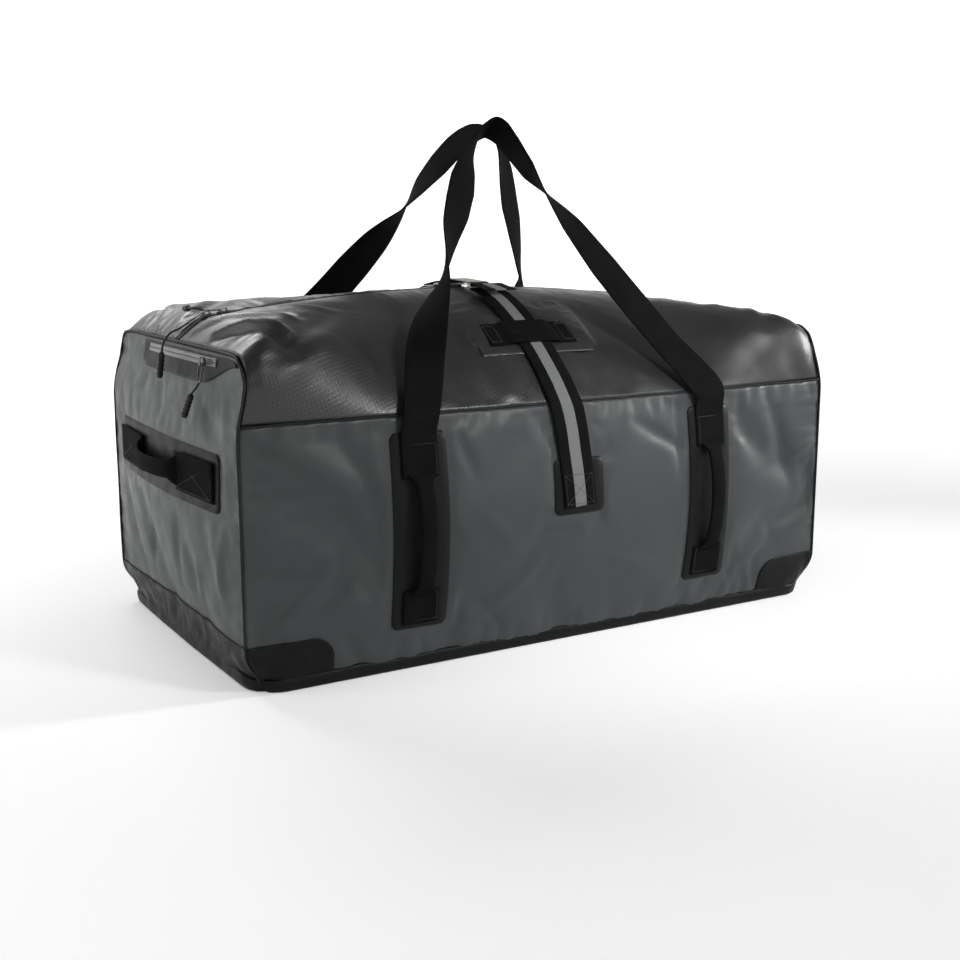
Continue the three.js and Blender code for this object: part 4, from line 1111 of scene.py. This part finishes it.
# ---- base: a flat coated cloth and the rolled edge round it ----
def rounded_outline(edge, radius, count=10):
    """Points round the base at some distance out from the panels' edges."""
    x, y = HALF_L + edge - radius, HALF_D + edge - radius
    points = []
    for cx, cy, start in ((x, y, 0), (-x, y, 90), (-x, -y, 180), (x, -y, 270)):
        for a in np.radians(np.linspace(start, start + 90, count)):
            points.append((cx + radius * math.cos(a), cy + radius * math.sin(a)))
    points.append(points[0])
    return np.array(points)


def resampled(points, step):
    lengths = np.r_[0, np.cumsum(np.linalg.norm(np.diff(points, axis=0), axis=1))]
    places = np.linspace(0, lengths[-1], int(lengths[-1] / step))
    return np.stack([np.interp(places, lengths, points[:, i]) for i in range(points.shape[1])], -1), places


line, places = resampled(rounded_outline(1.8 * MM, 14 * MM), 6 * MM)
ahead = np.roll(line[:-1], -1, 0) - np.roll(line[:-1], 1, 0)
ahead = np.vstack([ahead, ahead[:1]])
out = np.stack([ahead[:, 1], -ahead[:, 0]], -1) / np.linalg.norm(ahead, axis=1, keepdims=True)
swing = 2 * np.pi * places / places[-1]
wavy = 0.5 * np.sin(17 * swing) + 0.35 * np.sin(29 * swing + 1) + 0.25 * np.sin(47 * swing + 2)
turn = np.linspace(0, 2 * np.pi, 16, endpoint=False)
half_w = 4.0 * MM + 0.5 * MM * wavy
half_h = 8.6 * MM + 0.8 * MM * wavy
across = np.sign(np.cos(turn)) * np.abs(np.cos(turn)) ** 0.8 * half_w[:, None]
rise = np.sign(np.sin(turn)) * np.abs(np.sin(turn)) ** 0.8 * half_h[:, None]
rings = np.stack([line[:, :1] + out[:, :1] * across, line[:, 1:] + out[:, 1:] * across,
                  BASE_LOW.z + half_h[:, None] + rise + 0 * across], -1)
girth = np.broadcast_to(turn * 5 * MM, across.shape)
roll = swept("base_rolled_edge", rings, np.stack([np.broadcast_to(places[:, None], across.shape), girth], -1),
             BASE_CLOTH, "base_cloth")
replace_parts(roll, "base")
sheet_line = rounded_outline(1 * MM, 14 * MM)[:-1]
count = len(sheet_line)
points = np.vstack([np.c_[sheet_line, np.full(count, z)] for z in (0.4 * MM, PANEL_LOW - 0.4 * MM)])
faces = [list(range(count))[::-1], list(range(count, 2 * count))]
faces += [[i, (i + 1) % count, (i + 1) % count + count, i + count] for i in range(count)]
mesh_piece("base_cloth", points, faces, points[:, :2], BASE_CLOTH, "base_cloth", round_off=False)

# ---- scuff bands and corner guards ----
for name, side in ENDS:
    reach_y = HALF_D - 1 * MM
    band = plate(f"{name}_scuff_cloth", lambda a, b, off: on_end(side, a, b, off),
                 (TRIM_LOW - 3 * MM, SCUFF_Z), lambda b: (0 * b - reach_y, 0 * b + reach_y), PATCH_T,
                 BASE_CLOTH, "base_cloth", (100, 12), 0.7 * MM)
    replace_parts(band, f"{name}_scuff_band")

GUARD_X, GUARD_CORNER, GUARD_TOP = 0.100, 0.026, SCUFF_Z + 2 * MM


def guard_reach(end):
    """Edges of a corner guard at height b: its upper inner corner is round."""
    def reach(b):
        past = np.clip(b - (GUARD_TOP - GUARD_CORNER), 0, GUARD_CORNER)
        inner = end * (HALF_L - GUARD_X + GUARD_CORNER - np.sqrt(GUARD_CORNER ** 2 - past ** 2))
        outer = 0 * b + end * (HALF_L - 1 * MM)
        return (outer, inner) if end < 0 else (inner, outer)
    return reach


for side_name, side in SIDES:
    for end_name, end in ENDS:
        guard = plate(f"{side_name}_{end_name}_guard", lambda a, b, off: on_side(side, a, b, off),
                      (TRIM_LOW - 3 * MM, GUARD_TOP), guard_reach(end), PATCH_T, BASE_CLOTH, "base_cloth",
                      (26, 20), 0.7 * MM)
        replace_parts(guard, f"{side_name}_{end_name}_corner_guard")


# ---- welded patches, grab handles and stitched tabs ----
HANDLE_W, HANDLE_T, HANDLE_BOW = 0.023, 4.6 * MM, 0.017
RUN_Z = (0.062, 0.293)
TAB = 0.044                         # length of a stitched tab
TAB_T = 2.6 * MM
TUCK = 8 * MM                       # how far a handle's end runs over its tab
END_TAB = 0.116                     # length of a tab on an end panel


def grab_handle(name, place, low, high):
    """Narrow folded webbing from place(low) to place(high), bowed between its two ends."""
    t = np.linspace(0, 1, 70)
    b = low + (high - low) * t
    rise = np.sin(np.pi * np.clip((t - 0.02) / 0.96, 0, 1)) ** 0.45
    off = ON_PATCH + TAB_T / 2 + HANDLE_BOW * rise
    path = place(0 * b, b, off)
    outs = place(0 * b, b, off + 1 * MM) - path
    full = smooth(np.minimum(t, 1 - t), 0.0, 0.10)
    width = WEBBING * 0.8 + (HANDLE_W - WEBBING * 0.8) * full
    thickness = TAB_T * 0.8 + (HANDLE_T - TAB_T * 0.8) * full
    return strap(name, path, outs, WEB, "webbing", width, thickness, cup=0.8 * MM * full)


def tab(name, place, b_range):
    """A stitched-down end of webbing."""
    b = np.linspace(*b_range, 12)
    path = place(0 * b, b, ON_PATCH + TAB_T / 2)
    outs = place(0 * b, b, ON_PATCH + TAB_T / 2 + 1 * MM) - path
    return strap(name, path, outs, WEB, "webbing", WEBBING, TAB_T)


for side_name, side in SIDES:
    for end_name, end in ENDS:
        label = f"{side_name}_{end_name}"
        centre = end * STRAP_X
        patch = plate(f"{label}_patch", lambda a, b, off: on_side(side, a, b, off), PATCH_Z,
                      rounded((centre - PATCH_W / 2, centre + PATCH_W / 2), PATCH_Z, 8 * MM), PATCH_T,
                      WELDED, "welded_patch", (8, 40), GAP)
        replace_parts(patch, f"{label}_strap_patch")
        on_run = lambda a, b, off: on_side(side, centre + a, b, off)
        handle = grab_handle(f"{label}_handle", on_run, RUN_Z[0] + TAB - TUCK, RUN_Z[1] - TAB + TUCK)
        tab(f"{label}_lower_tab", on_run, (RUN_Z[0], RUN_Z[0] + TAB))
        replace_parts(handle, f"{label}_grab_handle")
        inset, top = WEBBING / 2 - 4 * MM, ON_PATCH + TAB_T + 0.1 * MM
        lines = box_seam(on_run, (-inset, inset), (RUN_Z[0] + 4 * MM, RUN_Z[0] + TAB - 5 * MM), top)
        lines += box_seam(on_run, (-inset, inset), (RUN_Z[1] - TAB + 5 * MM, RUN_Z[1] - 3 * MM), top)
        stitches(f"{label}_tab_stitches", lines)

for name, side in ENDS:
    patch = plate(f"{name}_end_patch", lambda a, b, off: on_end(side, b, a, off), (-END_PATCH_Y, END_PATCH_Y),
                  rounded(END_PATCH_Z, (-END_PATCH_Y, END_PATCH_Y), 8 * MM), PATCH_T, WELDED, "welded_patch",
                  (10, 50), GAP)
    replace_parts(patch, f"{name}_handle_patch")
    middle = sum(END_PATCH_Z) / 2
    on_run = lambda a, b, off: on_end(side, b, middle + a, off)
    handle = grab_handle(f"{name}_end_grip", on_run, -END_RUN_Y + END_TAB - TUCK, END_RUN_Y - END_TAB + TUCK)
    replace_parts(handle, f"{name}_end_handle")
    lines = []
    for start in (-END_RUN_Y, END_RUN_Y - END_TAB):
        tab(f"{name}_end_tab_{'front' if start < 0 else 'rear'}", on_run, (start, start + END_TAB))
        inset = WEBBING / 2 - 4 * MM
        lines += box_seam(on_run, (-inset, inset), (start + 5 * MM, start + END_TAB - 5 * MM),
                          ON_PATCH + TAB_T + 0.1 * MM, cross=True)
    stitches(f"{name}_end_stitches", lines)


# ---- end pocket: patch with a wavy lower edge, and a water-resistant zip ----
def pocket_low(y):
    return END_Z - 0.040 + 0.026 * smooth(-y, 0.118, 0.222) + 0.008 * smooth(y, 0.100, 0.118)


def pocket_reach(b):
    return pocket_low(b), end_top(b) - 5 * MM


pocket = plate("pocket_patch_cloth", lambda a, b, off: on_end(-1, b, a, off), POCKET_Y, pocket_reach, PATCH_T,
               WELDED, "welded_patch", (8, 60), GAP)
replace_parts(pocket, "pocket_patch")
for label, z0, z1 in (("lower", -5.0 * MM, -0.35 * MM), ("upper", 0.35 * MM, 5.0 * MM)):
    band = plate(f"pocket_zip_{label}", lambda a, b, off: on_end(-1, b, a, off), POCKET_ZIP_Y,
                 lambda b: (0 * b + POCKET_ZIP_Z + z0, 0 * b + POCKET_ZIP_Z + z1), 1 * MM,
                 ZIP_BAND, "zip_tape", (4, 50), ON_PATCH)
    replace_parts(band, "pocket_zip")

# ---- compression strap: foot, patch, ribbon over the top, bar turn and tail ----
BUCKLE_Z = float(ridge_z(np.array(0.0)))
TURN_R = 3.9 * MM
FRONT_BAR = (-0.066, BUCKLE_Z + 3.4 * MM)
HOOK_BAR = (-0.046, BUCKLE_Z + 4.6 * MM)
RING_FRONT = (0.014, BUCKLE_Z + 4.4 * MM)
RING_REAR = (0.034, BUCKLE_Z + 3.4 * MM)
CENTRE_LOW = 0.190


def strap_lift(p):
    """Lift of the strap over the top: it leaves the cloth to reach the raised buckle."""
    return 2.8 * MM + 4.4 * MM * smooth(p, 0.55, 0.85)


def compression_strap(name, side, bar, tail_y):
    path, outs = [], []
    for v in np.linspace(0, 1, 9):
        at = np.array([-0.011 * v]), np.array([CENTRE_LOW + (SEAM_Z - 4 * MM - CENTRE_LOW) * v])
        here = on_side(side, *at, ON_PATCH + 1.3 * MM)[0]
        path.append(here)
        outs.append(on_side(side, *at, ON_PATCH + 2.3 * MM)[0] - here)
    for p in np.linspace(0.075, 0.83, 12):
        x = np.array([BUCKLE_X])
        here = on_top(side, x, p, strap_lift(p))[0]
        path.append(here)
        outs.append(on_top(side, x, p, strap_lift(p) + 1 * MM)[0] - here)
    bar_y, bar_z = bar
    last = path[-1]
    slope = math.atan2(bar_z - TURN_R - last[2], side * (last[1] - bar_y))
    path.append(np.array([BUCKLE_X, last[1] + 0.6 * (bar_y - last[1]),
                          last[2] + 0.6 * (bar_z - TURN_R - last[2])]))
    outs.append([0, side * math.sin(slope), math.cos(slope)])
    for a in np.linspace(-np.pi / 2, np.pi / 2, 7):
        path.append(np.array([BUCKLE_X, bar_y - side * TURN_R * math.cos(a), bar_z + TURN_R * math.sin(a)]))
        outs.append([0, side * math.cos(a), -math.sin(a)])
    for k in (0.35, 0.7, 1):
        drop = (tail_y - bar_y) * side * 0.16 * k
        path.append(np.array([BUCKLE_X, bar_y + k * (tail_y - bar_y), bar_z + TURN_R - drop]))
        outs.append([0, 0, -1])
    outs = np.array(outs, float)
    outs /= np.linalg.norm(outs, axis=1, keepdims=True)
    curve, window = centripetal(path, 260), np.hanning(41)
    eased = np.stack([np.convolve(curve[:, i], window / window.sum(), "same") for i in range(3)], -1)
    bridge = (smooth(curve[:, 2], 0.262, 0.290) * (1 - smooth(curve[:, 2], 0.345, 0.375)))[:, None]
    curve = curve + (eased + np.array([0, side, 0.4]) * 1.5 * MM - curve) * bridge
    piece = strap(f"{name}_compression_strap", curve, spread(outs, 260), STRIPED_WEB,
                  "striped_webbing", thickness=2 * MM, body=None)
    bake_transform(piece)
    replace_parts(piece, f"{name}_strap_lower", f"{name}_strap_upper")


for name, side in SIDES:
    patch = plate(f"{name}_foot_patch", lambda a, b, off: on_side(side, a, b, off), CENTRE_PATCH_Z,
                  rounded((-CENTRE_PATCH_W / 2, CENTRE_PATCH_W / 2), CENTRE_PATCH_Z, 7 * MM), PATCH_T, WELDED,
                  "welded_patch", (8, 14), GAP)
    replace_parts(patch, f"{name}_centre_patch")
    on_foot = lambda a, b, off: on_side(side, a - 0.083 * (b - CENTRE_LOW), b, off)
    inset = WEBBING / 2 - 4 * MM
    lines = box_seam(on_foot, (-inset, inset), (CENTRE_LOW + 4 * MM, CENTRE_LOW + 0.042),
                     ON_PATCH + 2.4 * MM, cross=True)
    stitches(f"{name}_foot_stitches", lines, slot="striped_webbing")
compression_strap("front", -1, FRONT_BAR, -0.106)
compression_strap("rear", 1, RING_REAR, 0.072)


# ---- buckle: a frame, a ring and the hook between them ----
def bar_frame(name, front, rear, body, node):
    """A rounded metal frame between two bars along x."""
    half_x, corner, wire = 0.029, 5 * MM, 1.9 * MM
    half_y = math.hypot(rear[0] - front[0], rear[1] - front[1]) / 2
    tilt = math.atan2(rear[1] - front[1], rear[0] - front[0])
    points = []
    for cx, cy, start in ((half_x - corner, half_y - corner, 0), (corner - half_x, half_y - corner, 90),
                          (corner - half_x, corner - half_y, 180), (half_x - corner, corner - half_y, 270)):
        for a in np.radians(np.linspace(start, start + 90, 8)):
            points.append((cx + corner * math.cos(a), cy + corner * math.sin(a)))
    points.append(points[0])
    line, _ = resampled(np.array(points), 1.5 * MM)
    middle = ((front[0] + rear[0]) / 2, (front[1] + rear[1]) / 2)
    path = np.stack([BUCKLE_X + line[:, 0], middle[0] + line[:, 1] * math.cos(tilt),
                     middle[1] + line[:, 1] * math.sin(tilt)], -1)
    piece = tube(name, path, wire, SILVER, "bright_metal", 14, body, closed=True)
    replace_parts(piece, node)


bar_frame("buckle_bar_frame", FRONT_BAR, HOOK_BAR, "front_flap", "buckle_frame")
bar_frame("buckle_bar_ring", RING_FRONT, RING_REAR, "rear_flap", "buckle_ring")

curl = [-0.15 * np.pi - k * 1.35 * np.pi for k in np.linspace(0, 1, 10)]
hook_path = [(BUCKLE_X, HOOK_BAR[0] + TURN_R * math.cos(a), HOOK_BAR[1] + TURN_R * math.sin(a)) for a in curl]
hook_outs = [(0, math.cos(a), math.sin(a)) for a in curl]
PLATE_Z = RING_FRONT[1] + 7 * MM
for k in (0.3, 0.6, 0.92):
    hook_path.append((BUCKLE_X, HOOK_BAR[0] + k * (RING_FRONT[0] - HOOK_BAR[0]),
                      HOOK_BAR[1] + TURN_R + k * (PLATE_Z - HOOK_BAR[1] - TURN_R)))
    hook_outs.append((0, 0, 1))
for k in (1, 2, 3, 4):
    a = np.pi / 2 - k / 4 * 0.52 * np.pi
    hook_path.append((BUCKLE_X, RING_FRONT[0] + 5 * MM * math.cos(a), PLATE_Z - 7.6 * MM * (1 - math.sin(a))))
    hook_outs.append((0, math.cos(a), math.sin(a)))
hook = strap("buckle_hook_plate", centripetal(hook_path, 90), spread(hook_outs, 90), GUNMETAL, "bright_metal",
             0.030, 2 * MM, body="hook")
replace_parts(hook, "buckle_hook")

# ---- keeper over the strap ----
KEEPER_P, KEEPER_X = (0.48, 0.60), (-0.082, 0.054)
base_patch = plate("keeper_base", lambda a, b, off: on_top(-1, a, b, off),
                   (KEEPER_P[0] - 0.05, KEEPER_P[1] + 0.05),
                   lambda b: (0 * b + KEEPER_X[0] - 0.020, 0 * b + KEEPER_X[1] + 0.020), 0.5 * MM, RIPSTOP,
                   "ripstop", (40, 16), 0.3 * MM, "front_flap")
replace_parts(base_patch, "keeper_patch")


def on_keeper(a, b, off):
    bridge = 4.2 * MM * smooth(0.046 - np.abs(a - BUCKLE_X), 0, 0.016)
    return on_top(-1, a, b, off + bridge)


keeper = plate("keeper_webbing", on_keeper, KEEPER_P, lambda b: (0 * b + KEEPER_X[0], 0 * b + KEEPER_X[1]),
               1.8 * MM, WEB, "webbing", (60, 10), 1.6 * MM, "front_flap")
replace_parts(keeper, "strap_keeper")
lines = []
for a_range in ((KEEPER_X[0] + 3 * MM, KEEPER_X[0] + 18 * MM), (KEEPER_X[1] - 18 * MM, KEEPER_X[1] - 3 * MM)):
    lines += box_seam(on_keeper, a_range, (KEEPER_P[0] + 0.015, KEEPER_P[1] - 0.015), 3.6 * MM)
stitches("keeper_stitches", lines, body="front_flap")

# ---- carry straps: one length of webbing each, from a stitched tab up and over to the other ----
FRONT_ROUTE = [
    ((-231, -265, 304), (0, -1, 0)),
    ((-229, -268, 323), (0, -1, 0.1)),
    ((-216, -251, 358), (-0.1, -0.9, 0.5)),
    ((-199, -226, 400), (-0.3, -0.75, 0.6)),
    ((-177, -200, 438), (-0.65, -0.35, 0.65)),
    ((-153, -178, 471), (-0.85, 0.1, 0.55)),
    ((-134, -161, 498), (-0.85, 0.5, 0.2)),
    ((-109, -132, 544), (-0.6, 0.8, -0.1)),
    ((-87, -112, 575), (-0.4, 0.9, -0.25)),
    ((-66, -91, 607), (-0.35, 0.9, -0.25)),
    ((-45, -73, 636), (-0.6, 0.8, 0)),
    ((-28, -58, 659), (-0.75, 0.6, 0.3)),
    ((-10, -46, 678), (-0.45, 0.55, 0.7)),
    ((8, -40, 687), (0, 0.5, 0.85)),
    ((23, -44, 680), (0.45, 0.4, 0.8)),
    ((34, -57, 660), (0.75, 0.2, 0.6)),
    ((48, -78, 628), (0.85, -0.05, 0.5)),
    ((65, -98, 597), (0.65, -0.45, 0.6)),
    ((90, -126, 553), (0.25, -0.8, 0.6)),
    ((120, -162, 496), (0, -0.85, 0.5)),
    ((155, -200, 436), (-0.05, -0.85, 0.5)),
    ((184, -232, 388), (0, -0.9, 0.5)),
    ((212, -257, 350), (0, -0.95, 0.3)),
    ((229, -269, 323), (0, -1, 0.05)),
    ((231, -265, 304), (0, -1, 0)),
]
REAR_ROUTE = [
    ((-231, 265, 304), (0, 1, 0)),
    ((-229, 268, 323), (0, 1, 0.1)),
    ((-210, 250, 358), (0.2, 0.95, 0.3)),
    ((-176, 219, 405), (0.4, 0.9, 0.2)),
    ((-141, 190, 448), (0.45, 0.85, 0.2)),
    ((-113, 164, 488), (0.35, 0.9, 0.3)),
    ((-86, 137, 528), (0, 0.85, 0.5)),
    ((-68, 119, 555), (-0.35, 0.65, 0.65)),
    ((-54, 103, 578), (-0.65, 0.35, 0.65)),
    ((-38, 83, 609), (-0.85, 0, 0.5)),
    ((-18, 63, 639), (-0.85, -0.25, 0.45)),
    ((1, 46, 665), (-0.75, -0.35, 0.55)),
    ((20, 36, 682), (-0.4, -0.4, 0.85)),
    ((40, 33, 688), (0, -0.4, 0.9)),
    ((63, 39, 677), (0.45, -0.6, 0.65)),
    ((84, 54, 653), (0.5, -0.8, 0.35)),
    ((104, 72, 625), (0.4, -0.9, 0.15)),
    ((124, 94, 593), (0.4, -0.9, 0.05)),
    ((154, 124, 547), (0.55, -0.85, 0)),
    ((187, 161, 492), (0.75, -0.65, 0.05)),
    ((213, 192, 445), (0.85, -0.4, 0.25)),
    ((231, 232, 402), (0.7, 0.5, 0.5)),
    ((234, 260, 358), (0.2, 0.95, 0.25)),
    ((231, 269, 323), (0, 1, 0.05)),
    ((231, 265, 304), (0, 1, 0)),
]


def carry_strap(name, side, route):
    """The route in millimetres, and the way the webbing's outer face looks at each place of it."""
    path = np.array([at for at, _ in route]) * MM
    outs = np.array([look for _, look in route], float)
    curve, faces = centripetal(path, 330), spread(outs, 330)
    ends = []
    for end in (-1, 1):
        z = np.linspace(RUN_Z[1] - TAB, 0.296, 14)
        foot = on_side(side, end * STRAP_X + 0 * z, z, ON_PATCH + TAB_T / 2)
        ends.append((foot, on_side(side, end * STRAP_X + 0 * z, z, ON_PATCH + 2 * TAB_T) - foot))
    (left, left_out), (right, right_out) = ends
    whole = np.vstack([left, curve[3:-3], right[::-1]])
    faces = np.vstack([left_out / np.linalg.norm(left_out, axis=1, keepdims=True), faces[3:-3],
                       (right_out / np.linalg.norm(right_out, axis=1, keepdims=True))[::-1]])
    piece = strap(f"{name}_carry_webbing", whole, faces, WEB, "webbing", body=None)
    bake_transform(piece)
    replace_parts(piece, f"{name}_carry_strap")


carry_strap("front", -1, FRONT_ROUTE)
carry_strap("rear", 1, REAR_ROUTE)

# ---- metal that stays as it is in the CAD ----
for label in ("outer", "inner", "pocket"):
    for kind, look in (("slider", GUNMETAL), ("pull_loop", GUNMETAL)):
        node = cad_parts[f"{label}_{kind}"]
        node.data.materials.clear()
        node.data.materials.append(look)

# ---- the pocket's pouch, which sags inwards with the end of the bag ----
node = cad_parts["pocket_pouch"]
points = np.array([node.matrix_world @ v.co for v in node.data.vertices]) + (7 * MM, 0, 0)
pouch = mesh_piece("pocket_pouch_cloth", points, [list(face.vertices) for face in node.data.polygons],
                   points[:, 1:], LINING, "lining", round_off=False)
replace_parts(pouch, "pocket_pouch")

# ---- sizes ----
bpy.context.view_layer.update()
corners = [o.matrix_world @ Vector(c) for o in bpy.data.objects
           if o.type == "MESH" and not o.hide_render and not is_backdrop(o) for c in o.bound_box]
visual_box = [[f(c[i] for c in corners) for i in range(3)] for f in (min, max)]
